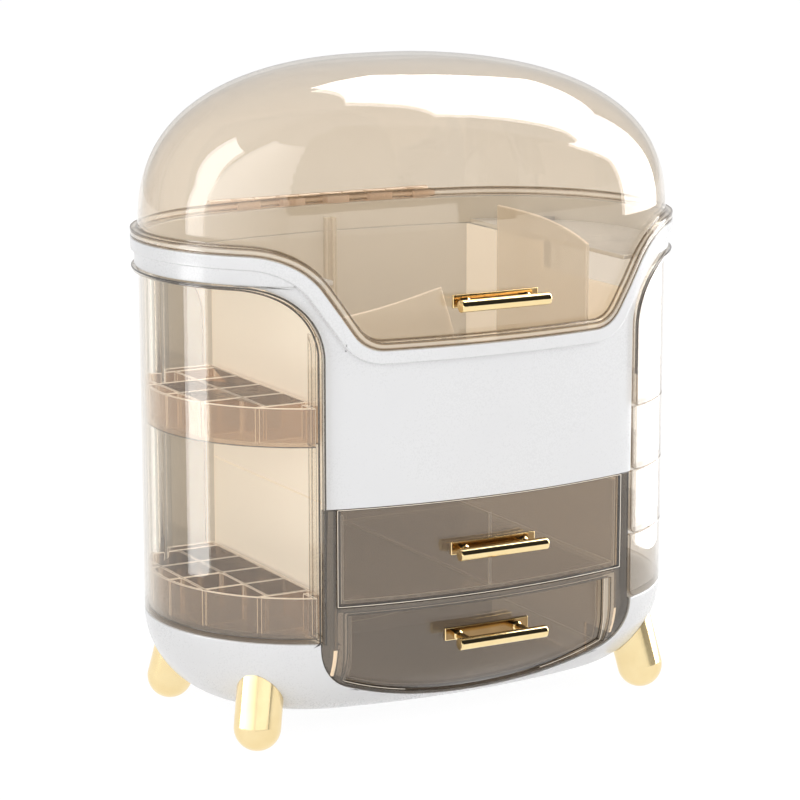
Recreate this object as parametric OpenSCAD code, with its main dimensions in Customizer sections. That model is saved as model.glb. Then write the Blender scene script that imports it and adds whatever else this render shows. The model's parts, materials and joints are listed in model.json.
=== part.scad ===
// Dustproof makeup organizer: an oval cabinet on four splayed feet, with a domed
// lid, two front drawers, one swing-out door pod and four swing-out side trays.
// Frame: +X to the right of the cabinet, +Y to its back, +Z up, origin on the
// ground under the middle of the oval.

/* [Oval plan] */
// Width of the cabinet between its two ends
body_w = 300; // [292:2:306]
// Radius of the two round ends of the plan
end_r = 87; // [85:0.5:88]
// Radius of the long front and back arcs of the plan
side_r = 374; // [360:2:390]
// Wall of the white mouldings
shell_wall = 2.5; // [2:0.1:3]
// Wall of the clear mouldings
clear_wall = 2; // [1.6:0.1:2.4]

/* [Bowl and feet] */
// Height of the bowl's rim above the ground
rim_z = 60; // [58:0.5:64]
// Radius of the bowl's quarter-round side
bowl_r = 47; // [45:0.5:49]
// Wall of the bowl
bowl_wall = 3; // [2.6:0.1:3.4]
// Deck of the bowl that carries the side pods
deck_t = 3.5; // [3:0.1:4]
// Radius of a foot
foot_r = 12.5; // [11.5:0.1:13]
// Outward lean of a foot
foot_lean = 15; // [10:1:18]
// Distance of a foot's tip inside the round end
foot_in = 8.6; // [7:0.2:11]
// Direction of a foot, measured from the long axis
foot_turn = 44; // [40:1:50]
// Thread size of the foot screws
foot_screw_d = 4; // [3.5:0.1:4.5]

/* [Drawer opening] */
// How far the U-shaped opening in the bowl reaches past the pods' front edge
u_side = 1.2; // [0.6:0.1:2]
// Lowest point of the opening above the bowl's underside
u_floor_up = 7; // [6.5:0.5:9]
// Radius of the opening's long lower arc
u_low_r = 230; // [220:2:245]
// Radius of the opening's corner arcs
u_corner_r = 26; // [25:0.2:27]

/* [Drawers] */
// Distance of the upper drawer's front from the pods' front edge
upper_side = 7.5; // [7:0.1:8.5]
// Distance of the lower drawer's front from the pods' front edge
lower_side = 14.4; // [13.8:0.1:16]
// Top edge of the lower drawer's front above the bowl's rim
lower_top_up = 13.6; // [12:0.1:14]
// Distance between the fronts of the two drawers
drawer_step = 5.4; // [5:0.1:8]
// Thickness of the shelf between the drawers
shelf_t = 3.2; // [2.4:0.1:3.4]
// Gap between the upper drawer's front and the white panel
panel_gap = 0.7; // [0.5:0.1:1.5]
// How far the lower drawer's front stands behind the oval
lower_setback = 7; // [6:0.1:8]
// Radius of the lower front's curved foot
lower_curve_r = 38; // [37:0.2:39]
// Thickness of the drawer fronts
front_t = 2.5; // [2:0.1:3]
// Wall of the drawer tubs
tub_wall = 2; // [1.6:0.1:2.4]
// Distance of the upper tub's back wall inside the oval
upper_back_in = 20; // [19:1:34]
// Distance of the lower tub's back wall inside the oval
lower_back_in = 32; // [31:1:44]
// Running gap round the drawers
drawer_gap = 0.5; // [0.4:0.1:0.6]

/* [Side pods] */
// Width of a pod from the cabinet's end to its front edge
pod_w = 56.2; // [54:0.1:57]
// Radius of the arch over the pods
arch_r = 37; // [35:0.5:39]
// How far the pods reach inward behind their front edge
pod_nose = 5.2; // [4.4:0.1:5.4]
// Direction of the pivot pins from the centre of the round end
pivot_turn = 41.8; // [41:0.1:42.4]
// Outer radius of the pivot barrels
barrel_r = 6; // [5.6:0.1:6.2]
// Diameter of the pivot pins
pin_d = 4; // [3:0.1:5]
// Radial clearance of pins in their bores
pin_fit = 0.05; // [0.03:0.01:0.08]
// Clearance above and below a swinging pod
pod_gap = 0.4; // [0.3:0.1:0.5]
// Height of each plain side tray
tray_pitch = 35.4; // [34:0.2:36]
// Height of the door pod's middle shelf above the bowl's rim
mid_shelf_up = 103.6; // [90:0.2:110]
// Height of the dividers on the middle shelf
mid_rack_h = 20; // [14:0.5:26]
// Height of the dividers on the lower shelf
low_rack_h = 21.5; // [14:0.5:28]
// Spacing of the cross dividers
rack_pitch = 27.2; // [26:0.2:29]
// Distance of the racks' front end from the front of the round end
rack_front_in = 26; // [24:1:31]
// Thickness of the rack walls
rack_wall = 1.5; // [1.2:0.1:1.8]
// How far the pod's top lip stands out
pod_lip = 3.6; // [3:0.1:4]

/* [White shell] */
// Lower edge of the front panel above the bowl's rim
panel_up = 71; // [69:0.1:74]
// Lid seam at the ends and at the back
seam_z = 262; // [260:0.5:264]
// How far the lid seam falls at the front
seam_drop = 49; // [44:0.5:54]
// Distance from the cabinet's end where the seam starts to fall
shoulder_in = 22; // [21:0.5:24]
// Radius of the shoulder
shoulder_r = 40; // [38:0.5:42]
// Radius at the foot of the shoulder
valley_r = 20; // [17:0.5:23]
// Steepest fall of the seam
seam_fall = 56; // [54:1:58]
// Height of the band and collar between the pods and the seam
band_h = 15.7; // [15:0.1:22]
// Height of the collar under the seam
collar_h = 7; // [6:0.2:8]
// How far the collar stands out
collar_out = 4; // [3.6:0.1:4.4]
// How far the band under the collar stands out
band_out = 2; // [1.5:0.1:2.4]
// Distance of the rear shell's edge from the cabinet's end
rear_in = 28; // [27.8:0.1:29]
// Gap between the pods and the rear shell
rear_gap = 1; // [0.8:0.1:2]
// Thickness of the shoulder decks
shoulder_t = 2.5; // [2:0.1:3]

/* [Top compartment] */
// Distance of the compartment's side walls from the pods' front edge
bin_side = 6.8; // [6.6:0.1:7.1]
// Thickness of its walls and floor
bin_wall = 2; // [1.6:0.1:2.2]
// Distance of the tall divider from the compartment's right side
divider_in = 22; // [17:1:27]
// Distance of the low divider from the front of the oval
low_divider_in = 34; // [30:1:38]

/* [Lid] */
// Thickness of the lid's flange
flange_t = 4; // [3:0.2:4.4]
// Gap between the lid and the collar
seam_gap = 0.3; // [0.2:0.1:0.5]
// Height of the dome over its flange
dome_h = 86; // [80:1:92]
// Roundness of the dome's profile, 2 is an ellipse
dome_power = 2.47; // [2.2:0.01:2.6]
// How far the top of the dome is set back
dome_back = 22; // [16:1:26]
// Length of the hinge
hinge_len = 140; // [126:2:150]
// Number of hinge knuckles
knuckles = 10; // [8:2:12]
// Radius of a hinge knuckle
knuckle_r = 3.2; // [3:0.1:3.3]
// Diameter of the hinge pin
hinge_pin_d = 2.5; // [2:0.1:3]
// Gap between the hinge knuckles and the collar
hinge_gap = 0.3; // [0.2:0.1:1]

/* [Handles] */
// Length of a handle bar
bar_len = 53; // [44:1:60]
// Diameter of a handle bar
bar_d = 6.5; // [5.5:0.1:7.5]
// Distance of the bars' axis in front of the oval
bar_out = 9.8; // [8.5:0.1:11]
// Length of the handle's back plate
plate_len = 51; // [42:1:56]
// Height of the back plate
plate_h = 7; // [6:0.2:8]
// Thickness of the back plate
plate_t = 1.6; // [1.2:0.1:2]
// Distance between the two posts
post_gap = 36; // [28:1:40]
// Diameter of a post
post_d = 4; // [3:0.1:4.5]
// Height of the lid's handle above the seam's lowest part
lid_bar_up = 21.3; // [19:0.1:27]
// Height of the upper drawer's handle above the front's lower edge
upper_bar_up = 25.1; // [19:0.1:33]
// Depth of the lower drawer's handle under the front's upper edge
lower_bar_down = 17.3; // [14:0.1:19]
// How far a back plate stands above its bar's axis
plate_up = 1; // [0:0.1:2]

/* [Hidden] */
$fn = 96;
long_fn = 360;          // circles of the long arcs
far = 400;              // half size of blocks that only cut
cut = 1;                // overrun of a cutting solid
white = "#f2f2f3";
smoke = "#8c8072";
amber = "#d9c6ad";
gold = "#d9b878";
steel = "#b9b9bb";
plain_trays = 3;        // side trays under the arched one

// ---- Plan of the cabinet: two end arcs joined by two long arcs, all tangent
end_x = body_w / 2 - end_r;
centre_step = side_r - end_r;
side_y = sqrt(pow(centre_step, 2) - pow(end_x, 2));
half_depth = side_r - side_y;
arc_turn = asin(end_x / centre_step);
function tangent_x(off) = (side_r + off) * end_x / centre_step;

// ---- Places that follow from the plan
pod_x = body_w / 2 - pod_w;
pod_inner_x = pod_x - pod_nose;
pivot_x = end_x + (end_r - barrel_r) * cos(pivot_turn);
pivot_y = (end_r - barrel_r) * sin(pivot_turn);
rear_x = body_w / 2 - rear_in;
rear_y = pivot_y + barrel_r + rear_gap;
shoulder_x = body_w / 2 - shoulder_in;
bin_x = pod_x - bin_side;
bay_x = bin_x - bin_wall;
u_half_w = pod_x + u_side;
upper_half_w = pod_x - upper_side;
lower_half_w = pod_x - lower_side;
upper_back_y = half_depth - upper_back_in;
lower_back_y = half_depth - lower_back_in;
divider_x = bin_x - divider_in;
divider_y = low_divider_in - half_depth;
rack_front_y = rack_front_in - end_r;
foot_reach = end_r - foot_in;
hinge_y = half_depth + collar_out + knuckle_r + hinge_gap;

// ---- Heights that follow from each other
u_floor_z = rim_z - bowl_r + u_floor_up;
lower_top_z = rim_z + lower_top_up;
upper_z = lower_top_z + drawer_step;
panel_z = rim_z + panel_up;
upper_h = panel_z - panel_gap - upper_z;
mid_shelf_z = rim_z + mid_shelf_up;
seam_front_z = seam_z - seam_drop;
pod_top_z = seam_z - band_h;
lid_bar_z = seam_front_z + lid_bar_up;
upper_bar_z = upper_z + upper_bar_up;
lower_bar_z = lower_top_z - lower_bar_down;

// Front-to-back reach of the plan at a given distance from the middle
function reach_y(x, off) = abs(x) < tangent_x(off)
  ? sqrt(pow(side_r + off, 2) - x * x) - side_y
  : sqrt(pow(end_r + off, 2) - pow(abs(x) - end_x, 2));

module oval(off) {
  for (side = [-1, 1]) translate([side * end_x, 0]) circle(end_r + off);
  intersection() {
    translate([0, side_y]) circle(side_r + off, $fn = long_fn);
    translate([0, -side_y]) circle(side_r + off, $fn = long_fn);
    square([2 * tangent_x(off), 2 * far], center = true);
  }
}

module oval_ring(outer, inner) {
  difference() {
    oval(outer);
    oval(inner);
  }
}

// A plan drawing raised between two heights
module raised(z_low, z_high) {
  translate([0, 0, z_low]) linear_extrude(z_high - z_low) children();
}

// A drawing of the front (x, z) pushed through from the front to depth y
module pushed(y_back) {
  translate([0, y_back, 0]) rotate([90, 0, 0]) linear_extrude(y_back + far) children();
}

module both_sides() {
  children();
  mirror([1, 0]) children();
}

// The part of a plan drawing behind the ends, where the seam is level
module back_part() {
  intersection() {
    children();
    translate([-far, -end_lap]) square([2 * far, far + end_lap]);
  }
}
end_lap = 6;

// Points of an arc between two angles
function arc(centre, r, from, to) = [for (i = [0:arc_steps])
  let (a = from + (to - from) * i / arc_steps) centre + r * [cos(a), sin(a)]];
arc_steps = 14;

// One outline from its right half, listed from the bottom to the top
module symmetric(half) {
  last = len(half) - 1;
  polygon(concat(half, [for (i = [last:-1:0]) [-half[i][0], half[i][1]]]));
}

// ---- Solid with the oval plan and a round foot, its edge radius is r
module foot_profile(reach, r, z_mid, z_top) {
  difference() {
    translate([0, z_mid - r]) square([reach, z_top - z_mid + r]);
    difference() {
      translate([reach - r, z_mid - r - cut]) square([r + cut, r + cut]);
      translate([reach - r, z_mid]) circle(r);
    }
  }
}

module oval_bowl(off, r, z_mid, z_top) {
  for (side = [-1, 1]) {
    translate([side * end_x, 0, 0]) rotate_extrude() foot_profile(end_r + off, r, z_mid, z_top);
  }
  intersection() {
    for_long_arc(1) foot_profile(side_r + off, r, z_mid, z_top);
    for_long_arc(-1) foot_profile(side_r + off, r, z_mid, z_top);
    linear_extrude(z_top) polygon([
      [end_x, 0], [2 * end_x, -side_y], [-2 * end_x, -side_y],
      [-end_x, 0], [-2 * end_x, side_y], [2 * end_x, side_y]
    ]);
  }
}

module for_long_arc(side) {
  translate([0, side * side_y, 0]) rotate_extrude($fn = long_fn) children();
}

// ---- Lid seam, drawn in the front view
seam_slope = (seam_drop - (shoulder_r + valley_r) * (1 - cos(seam_fall))) / sin(seam_fall);
valley_x = shoulder_x - (shoulder_r + valley_r) * sin(seam_fall) - seam_slope * cos(seam_fall);
shoulder_c = [shoulder_x, seam_z - shoulder_r];
valley_c = [valley_x, seam_front_z + valley_r];

// Everything below the seam, raised by off
module below_seam(off) {
  wide = far - off;     // a lower outline reaches past a higher one, so it cuts clean
  symmetric(concat(
    [[wide, -wide], [wide, seam_z + off]],
    arc(shoulder_c, shoulder_r + off, 90, 90 + seam_fall),
    arc(valley_c, valley_r - off, seam_fall - 90, -90)
  ));
}

// ---- Outline of the pods in the front view, grown by off
module pod_face(off) {
  centre = [pod_x + arch_r, pod_top_z - arch_r];
  both_sides() polygon(concat(
    [[far + off, pod_top_z + off], [far + off, -far], [pod_x - off, -far]],
    arc(centre, arch_r + off, 180, 90)
  ));
}

// ---- Outline of the drawer opening in the front view, grown by off
u_turn = asin((u_half_w - u_corner_r) / (u_low_r - u_corner_r));
u_low_z = u_floor_z + u_low_r;
u_corner_c = [u_half_w - u_corner_r, u_low_z - (u_low_r - u_corner_r) * cos(u_turn)];

module u_face(off, z_top) {
  symmetric(concat(
    arc([0, u_low_z], u_low_r + off, u_turn / arc_steps - 90, u_turn - 90),
    arc(u_corner_c, u_corner_r + off, u_turn - 90, 0),
    [[u_half_w + off, z_top]]
  ));
}

// ---- Bowl and feet
module at_feet() {
  for (side = [-1, 1]) for (end = [-1, 1]) at_foot(side, end) children();
}

// Stands a foot's own frame at one corner: its z axis is the foot's axis and its
// origin is the centre of the round tip
tip_z = foot_r - 0.5;   // leaves a small flat on the ground
module at_foot(side, end) {
  turn = atan2(end * sin(foot_turn), side * cos(foot_turn));
  translate([side * end_x, 0, tip_z]) rotate([0, 0, turn]) translate([foot_reach, 0, 0]) {
    rotate([0, -foot_lean, 0]) children();
  }
}

screw_seat = 28;        // along the foot axis, where the screw head sits
screw_len = 22;
boss_r = 7;
screw_head_r = 3.8;
screw_head_h = 2.4;
screw_tip = screw_seat - screw_len;

module base_bowl() {
  opening = bin_x + deck_side;
  color(white) difference() {
    union() {
      difference() {
        oval_bowl(0, bowl_r, rim_z, rim_z);
        oval_bowl(-bowl_wall, bowl_r - bowl_wall, rim_z, rim_z - deck_t);
      }
      // Bosses that the foot screws pull against
      intersection() {
        at_feet() cylinder(r = boss_r, h = screw_seat);
        for (side = [-1, 1]) translate([side * end_x, 0, 0]) {
          rotate_extrude() foot_profile(end_r - bowl_wall / 2, bowl_r - bowl_wall / 2, rim_z, rim_z);
        }
      }
      // Ribs that carry the drawer cabinet's floor
      for (side = [-1, 1]) translate([side * rib_x, 0, 0]) raised(bowl_floor_z - cut, cabinet_floor_z) {
        square([rib_t, 2 * rib_y], center = true);
      }
    }
    // Opening for the cabinet through the deck and through the front wall
    raised(rim_z - deck_t - cut, rim_z + cut) intersection() {
      oval(-bowl_wall);
      square([2 * opening, 2 * far], center = true);
    }
    translate([0, -half_depth / 2, 0]) pushed(0) u_face(0, rim_z + cut);
    at_feet() cylinder(d = foot_screw_d + 2 * pin_fit, h = 2 * screw_seat);
    for (side = [-1, 1]) translate([side * pivot_x, pivot_y, rim_z - deck_t - cut]) {
      cylinder(d = pin_d + 2 * pin_fit, h = deck_t + 2 * cut);
    }
  }
}

bowl_floor_z = rim_z - bowl_r + bowl_wall;
deck_side = 5;          // from the cabinet's side to the edge of the deck
rib_x = 45;
rib_t = 2.5;
rib_in = 2;
low_y = half_depth - bowl_r + bowl_wall;
rib_y = low_y - rib_in;
cabinet_floor_z = bowl_floor_z + 3;

module foot(side, end) {
  color(gold) difference() {
    at_foot(side, end) {
      sphere(foot_r);
      cylinder(r = foot_r, h = bowl_r);
    }
    translate([side * end_x, 0, 0]) rotate_extrude() foot_profile(end_r, bowl_r, rim_z, rim_z + far);
    translate([-far, -far, -2 * foot_r]) cube([2 * far, 2 * far, 2 * foot_r]);
    at_foot(side, end) translate([0, 0, screw_tip]) cylinder(d = foot_screw_d + 2 * pin_fit, h = far);
  }
}

module foot_screws() {
  color(steel) at_feet() {
    translate([0, 0, screw_tip]) cylinder(d = foot_screw_d, h = screw_seat - screw_tip);
    translate([0, 0, screw_seat]) difference() {
      cylinder(r = screw_head_r, h = screw_head_h);
      translate([0, 0, screw_head_h / 2]) cylinder(r = screw_head_r / 2, h = screw_head_h, $fn = 6);
    }
  }
}

// ---- Drawer cabinet: smoke housing of the two drawers
shelf_z = upper_z - drawer_gap - shelf_t;
lower_window_x = lower_half_w + drawer_gap;
upper_window_x = upper_half_w + drawer_gap;
pod_side_gap = 0.6;
post_x = pod_x - pod_side_gap;
frame_back = 1.2;       // how far the frame stands behind the oval
frame_t = 2.6;
u_gap = 0.3;            // seat of the frame in the bowl's opening
u_lip = 1.6;            // width of the frame under the lower drawer

module drawer_cabinet() {
  color(smoke) {
    // Front frame round both drawers
    intersection() {
      difference() {
        oval_bowl(-frame_back, bowl_r - frame_back, rim_z, panel_z - u_gap);
        oval_bowl(-frame_back - frame_t, bowl_r - frame_back - frame_t, rim_z, panel_z);
      }
      pushed(-half_depth / 2) difference() {
        union() {
          intersection() {
            u_face(-u_gap, panel_z);
            translate([-far, rim_z - far]) square([2 * far, far]);
          }
          translate([-post_x, rim_z]) square([2 * post_x, panel_z - rim_z]);
        }
        intersection() {
          u_face(-u_gap - u_lip, lower_top_z + drawer_gap);
          translate([-lower_window_x, 0]) square([2 * lower_window_x, far]);
        }
        translate([-upper_window_x, shelf_z + shelf_t]) square([2 * upper_window_x, far]);
      }
    }
    // Side walls, floor and back wall inside the bowl
    difference() {
      intersection() {
        union() {
          raised(side_step_z, panel_z - u_gap) cabinet_plan(-frame_back - frame_t);
          raised(cabinet_floor_z, side_step_z) square([2 * bin_x, 2 * low_y], center = true);
        }
        oval_bowl(-seat_off, bowl_r - seat_off, rim_z, panel_z);
      }
      raised(side_step_z - cut, panel_z) intersection() {
        cabinet_plan(0);
        translate([-bay_x, -far]) square([2 * bay_x, 2 * far]);
      }
      raised(cabinet_floor_z + bin_wall, side_step_z + cut) {
        translate([-bay_x, -low_y - cut]) square([2 * bay_x, 2 * low_y + 2 * cut]);
      }
    }
  }
}

seat_off = bowl_wall + u_gap;
step_down = 20;         // from the bowl's rim to the floor's box under the side walls
side_step_z = rim_z - step_down;

module cabinet_plan(off) {
  intersection() {
    oval(off - u_gap);
    square([2 * bin_x, 2 * far], center = true);
  }
}

module drawer_shelf() {
  color(smoke) raised(shelf_z, shelf_z + shelf_t) intersection() {
    oval(-frame_back - frame_t);
    translate([-bay_x, -far]) square([2 * bay_x, far + upper_back_y]);
  }
}

// ---- White upper shell
module shell_face(off) {
  difference() {
    below_seam(off);
    translate([-far, -2 * far]) square([2 * far, 2 * far + panel_z]);
    pod_face(pod_gap);
  }
}

// Front view of all that lies over the pods and under the seam
module band_face() {
  difference() {
    below_seam(-seam_gap / 2);
    translate([-far, -2 * far]) square([2 * far, 2 * far + pod_top_z + pod_gap]);
  }
}

module upper_shell() {
  collar_top = seam_z - seam_gap / 2;
  color(white) difference() {
    union() {
      // Front: panel with its arches, band over the pods, collar along the seam
      intersection() {
        raised(0, far) oval(0);
        pushed(0) shell_face(-seam_gap / 2);
      }
      intersection() {
        raised(0, far) oval(band_out);
        pushed(0) band_face();
      }
      intersection() {
        raised(0, far) oval(collar_out);
        pushed(0) difference() {
          below_seam(-seam_gap / 2);
          below_seam(-collar_h);
        }
      }
      // Back: the same band and collar, level all round
      raised(pod_top_z + pod_gap, collar_top) back_part() oval(band_out);
      raised(seam_z - collar_h, collar_top) back_part() oval(collar_out);
    }
    raised(0, far) oval(-shell_wall);
  }
}

module shoulder_decks() {
  deck_z = pod_top_z + pod_gap;
  color(white) raised(deck_z, deck_z + shoulder_t) difference() {
    oval(-shell_wall);
    square([2 * bin_x, 2 * far], center = true);
    for (side = [-1, 1]) translate([side * pivot_x, pivot_y]) {
      circle(d = pin_d + 2 * pin_fit);
    }
  }
}

module rear_shell() {
  color(white) raised(rim_z, pod_top_z + pod_gap) {
    intersection() {
      oval_ring(0, -shell_wall);
      translate([-rear_x, rear_y]) square([2 * rear_x, far]);
    }
    both_sides() intersection() {
      oval(-shell_wall / 2);
      translate([bin_x + u_gap, rear_y]) square([rear_x - bin_x - u_gap, shell_wall]);
    }
  }
}

// ---- Open compartment under the lid
bin_z = panel_z + u_gap;
bin_back = shell_wall + u_gap;
module bin_plan() {
  intersection() {
    oval(-bin_back);
    square([2 * bin_x, 2 * far], center = true);
  }
}

slot_w = 2.4;           // slot between the two guides on the back wall
slot_depth = 5;
module top_bin() {
  color(amber) {
    raised(bin_z, bin_z + bin_wall) bin_plan();
    difference() {
      raised(bin_z, pod_top_z) bin_plan();
      raised(bin_z - cut, far) square([2 * bay_x, 2 * far], center = true);
      // The side walls duck under the falling seam
      pushed(0) difference() {
        translate([-far, 0]) square(2 * far);
        below_seam(-seam_gap);
      }
    }
    // Guides on the back wall for a loose centre divider
    raised(bin_z, seam_z - collar_h) both_sides() intersection() {
      oval(-bin_back);
      translate([slot_w / 2, half_depth - bin_back - slot_depth]) {
        square([bin_wall, slot_depth + cut]);
      }
    }
  }
}

divider_back_y = 12;
divider_up = 3;         // top corner of the tall divider over the seam
divider_top_z = seam_z + divider_up;
divider_dip = 13;
divider_wave = 3;
divider_gap = 1;        // loose fit behind the front panel
wave_steps = 16;
// Tall divider with a wavy top that falls towards the front
module tall_divider() {
  front_y = reach_y(divider_x, -bin_back) - divider_gap;
  wave = [for (i = [0:wave_steps]) let (a = 180 * i / wave_steps) [
    divider_back_y - (divider_back_y + front_y) * i / wave_steps,
    divider_top_z - divider_dip * (1 - cos(a)) / 2 - divider_wave * sin(a)
  ]];
  color(amber) translate([divider_x - bin_wall / 2, 0, 0]) rotate([90, 0, 90]) {
    linear_extrude(bin_wall) {
      polygon(concat([[divider_back_y, bin_z + bin_wall]], wave, [[-front_y, bin_z + bin_wall]]));
    }
  }
}

wedge_r = 90;           // hollow of the low divider's top edge
wedge_hollow_in = 47;   // from the left side wall to the hollow's centre
wedge_low_up = 12;      // ends of the top edge over the seam's lowest part
wedge_high_up = 25;
wedge_low_z = seam_front_z + wedge_low_up;
wedge_high_z = seam_front_z + wedge_high_up;
wedge_peak_x = -5;
wedge_lift = 2;
// Low divider behind the front panel with a hollow, rising top edge
module low_divider() {
  left_x = -bay_x;
  floor_z = bin_z + bin_wall;
  color(amber) translate([0, divider_y + bin_wall / 2, 0]) rotate([90, 0, 0]) {
    linear_extrude(bin_wall) difference() {
      polygon([
        [left_x, floor_z], [left_x, wedge_low_z], [wedge_peak_x, wedge_high_z],
        [0, seam_front_z - divider_gap], [0, floor_z]
      ]);
      translate([left_x + wedge_hollow_in, wedge_low_z + wedge_r + wedge_lift]) circle(wedge_r);
    }
  }
}

// ---- Pivot pins of the pods
pin_head_r = 4;
pin_head_h = 1.6;
module pivot_pin(side) {
  head_z = pod_top_z + pod_gap + shoulder_t;
  color(steel) translate([side * pivot_x, pivot_y, 0]) {
    raised(rim_z - deck_t, head_z) circle(d = pin_d);
    raised(head_z, head_z + pin_head_h) circle(pin_head_r);
  }
}

// ---- Lid hinge
lid_z = seam_z + seam_gap / 2;
axis_lift = 2;          // hinge axis above the foot of the lid's flange
hinge_z = lid_z + axis_lift;
pitch = hinge_len / knuckles;
knuckle_gap = 0.3;
module knuckle_row(first) {
  for (i = [first:2:knuckles - 1]) {
    translate([-hinge_len / 2 + i * pitch + knuckle_gap / 2, 0, 0]) children();
  }
}

module knuckle() {
  translate([0, hinge_y, hinge_z]) rotate([0, 90, 0]) cylinder(r = knuckle_r, h = pitch - knuckle_gap);
}

module hinge_bore() {
  translate([-far, hinge_y, hinge_z]) rotate([0, 90, 0]) {
    cylinder(d = hinge_pin_d + 2 * pin_fit, h = 2 * far);
  }
}

ledge_h = 5;
module hinge_bracket() {
  ledge_top = hinge_z - knuckle_r - seam_gap;
  color(smoke) difference() {
    union() {
      raised(ledge_top - ledge_h, ledge_top) hinge_plan(hinge_len - knuckle_gap);
      knuckle_row(0) {
        knuckle();
        translate([0, hinge_y - knuckle_r, ledge_top - cut]) {
          cube([pitch - knuckle_gap, 2 * knuckle_r, hinge_z - ledge_top + cut]);
        }
      }
    }
    hinge_bore();
  }
}

module hinge_plan(len) {
  difference() {
    translate([-len / 2, 0]) square([len, hinge_y + knuckle_r]);
    oval(collar_out);
  }
}

module hinge_pin() {
  color(steel) translate([-hinge_len / 2, hinge_y, hinge_z]) rotate([0, 90, 0]) {
    cylinder(d = hinge_pin_d, h = hinge_len);
  }
}

module lid_hinge_leaf() {
  color(smoke) difference() {
    knuckle_row(1) {
      knuckle();
      translate([0, 0, lid_z]) cube([pitch - knuckle_gap, hinge_y, flange_t]);
    }
    raised(0, far) oval(collar_out);
    hinge_bore();
  }
}

// ---- Lid: dome, flange along the seam and front visor
dome_z = lid_z + flange_t;
end_steps = 12;
side_steps = 6;
dome_steps = 14;

// Points of the plan, a quarter at a time, from the right end to the middle of the back
function quarter(off) = concat(
  [for (i = [0:end_steps]) let (a = (90 - arc_turn) * i / end_steps)
    [end_x + (end_r + off) * cos(a), (end_r + off) * sin(a)]],
  [for (j = [1:side_steps]) let (a = arc_turn * (1 - j / side_steps))
    [(side_r + off) * sin(a), (side_r + off) * cos(a) - side_y]]
);
function turned(list) = [for (i = [len(list) - 1:-1:0]) list[i]];
function but_ends(list) = [for (i = [1:len(list) - 2]) list[i]];
function plan_points(off) = let (q = quarter(off), m = turned(but_ends(q))) concat(
  q, [for (p = m) [-p[0], p[1]]],
  [[-q[0][0], q[0][1]]], [for (p = turned(m)) [-p[0], -p[1]]],
  [[0, -q[len(q) - 1][1]]], [for (p = m) [p[0], -p[1]]]
);

function dome_ring(plan, high, i) = let (
  a = 90 * max(i, 0) / dome_steps,
  scale_in = pow(cos(a), 2 / dome_power),
  up = i < 0 ? -dome_root : high * pow(sin(a), 2 / dome_power)
) [for (p = plan) [p[0] * scale_in, dome_back + (p[1] - dome_back) * scale_in, dome_z + up]];
dome_root = 1;          // how deep the dome's wall stands in the flange

// One closed skin: the outer surface, the inner one and the rim between them
module dome_shell(wall) {
  outer = plan_points(0);
  inner = plan_points(-wall);
  n = len(outer);
  rings = dome_steps + 1;
  skin = n * rings + 1;
  inside_h = dome_h - wall;
  points = concat(
    [for (i = [-1:dome_steps - 1]) each dome_ring(outer, dome_h, i)],
    [[0, dome_back, dome_z + dome_h]],
    [for (i = [-1:dome_steps - 1]) each dome_ring(inner, inside_h, i)],
    [[0, dome_back, dome_z + inside_h]]
  );
  last = (rings - 1) * n;
  faces = concat(
    [for (i = [0:rings - 2]) for (k = [0:n - 1])
      let (a = i * n + k, b = i * n + (k + 1) % n) each [[a, a + n, b], [b, a + n, b + n]]],
    [for (k = [0:n - 1]) [last + k, skin - 1, last + (k + 1) % n]],
    [for (i = [0:rings - 2]) for (k = [0:n - 1])
      let (a = skin + i * n + k, b = skin + i * n + (k + 1) % n)
      each [[a, b, a + n], [b, b + n, a + n]]],
    [for (k = [0:n - 1]) [skin + last + k, skin + last + (k + 1) % n, 2 * skin - 1]],
    [for (k = [0:n - 1]) let (b = (k + 1) % n) each [[k, b, skin + k], [b, skin + b, skin + k]]]
  );
  polyhedron(points, faces, convexity = 4);
}

// The plan in the same short steps as the dome, so that wall and dome meet edge to edge
module stepped_oval(off) {
  polygon(plan_points(off));
}

module lid_dome() {
  color(amber) {
    dome_shell(clear_wall);
    difference() {
      union() {
        // Visor: the dome's wall carried down to the seam
        intersection() {
          raised(0, dome_z) stepped_oval(0);
          pushed(0) over_seam();
        }
        // Flange: follows the seam at the front, level at the back
        intersection() {
          raised(0, dome_z) stepped_oval(collar_out);
          pushed(0) difference() {
            below_seam(seam_gap / 2 + flange_t);
            below_seam(seam_gap / 2);
          }
        }
        raised(lid_z, dome_z) back_part() stepped_oval(collar_out);
      }
      raised(0, far) stepped_oval(-clear_wall);
    }
  }
}

module over_seam() {
  difference() {
    translate([-far, 0]) square([2 * far, dome_z]);
    below_seam(seam_gap / 2);
  }
}

// ---- Handles
bar_y = -half_depth - bar_out;
post_sink = 0.4;        // how far a post is drawn past the plate before it is cut to it
module handle_bar(z, front_off) {
  seat_y = reach_y(post_gap / 2, front_off + plate_t) - post_sink;
  color(gold) {
    translate([-bar_len / 2, bar_y, z]) rotate([0, 90, 0]) cylinder(d = bar_d, h = bar_len);
    for (side = [-1, 1]) difference() {
      translate([side * post_gap / 2, bar_y, z]) rotate([-90, 0, 0]) {
        cylinder(d = post_d, h = -seat_y - bar_y);
      }
      raised(0, far) oval(front_off + plate_t);
    }
  }
}

module handle_plate(z, front_off) {
  color(gold) intersection() {
    raised(z - plate_h / 2, z + plate_h / 2) oval_ring(front_off + plate_t, front_off);
    translate([-plate_len / 2, -far, 0]) cube([plate_len, far, far]);
  }
}

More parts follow.
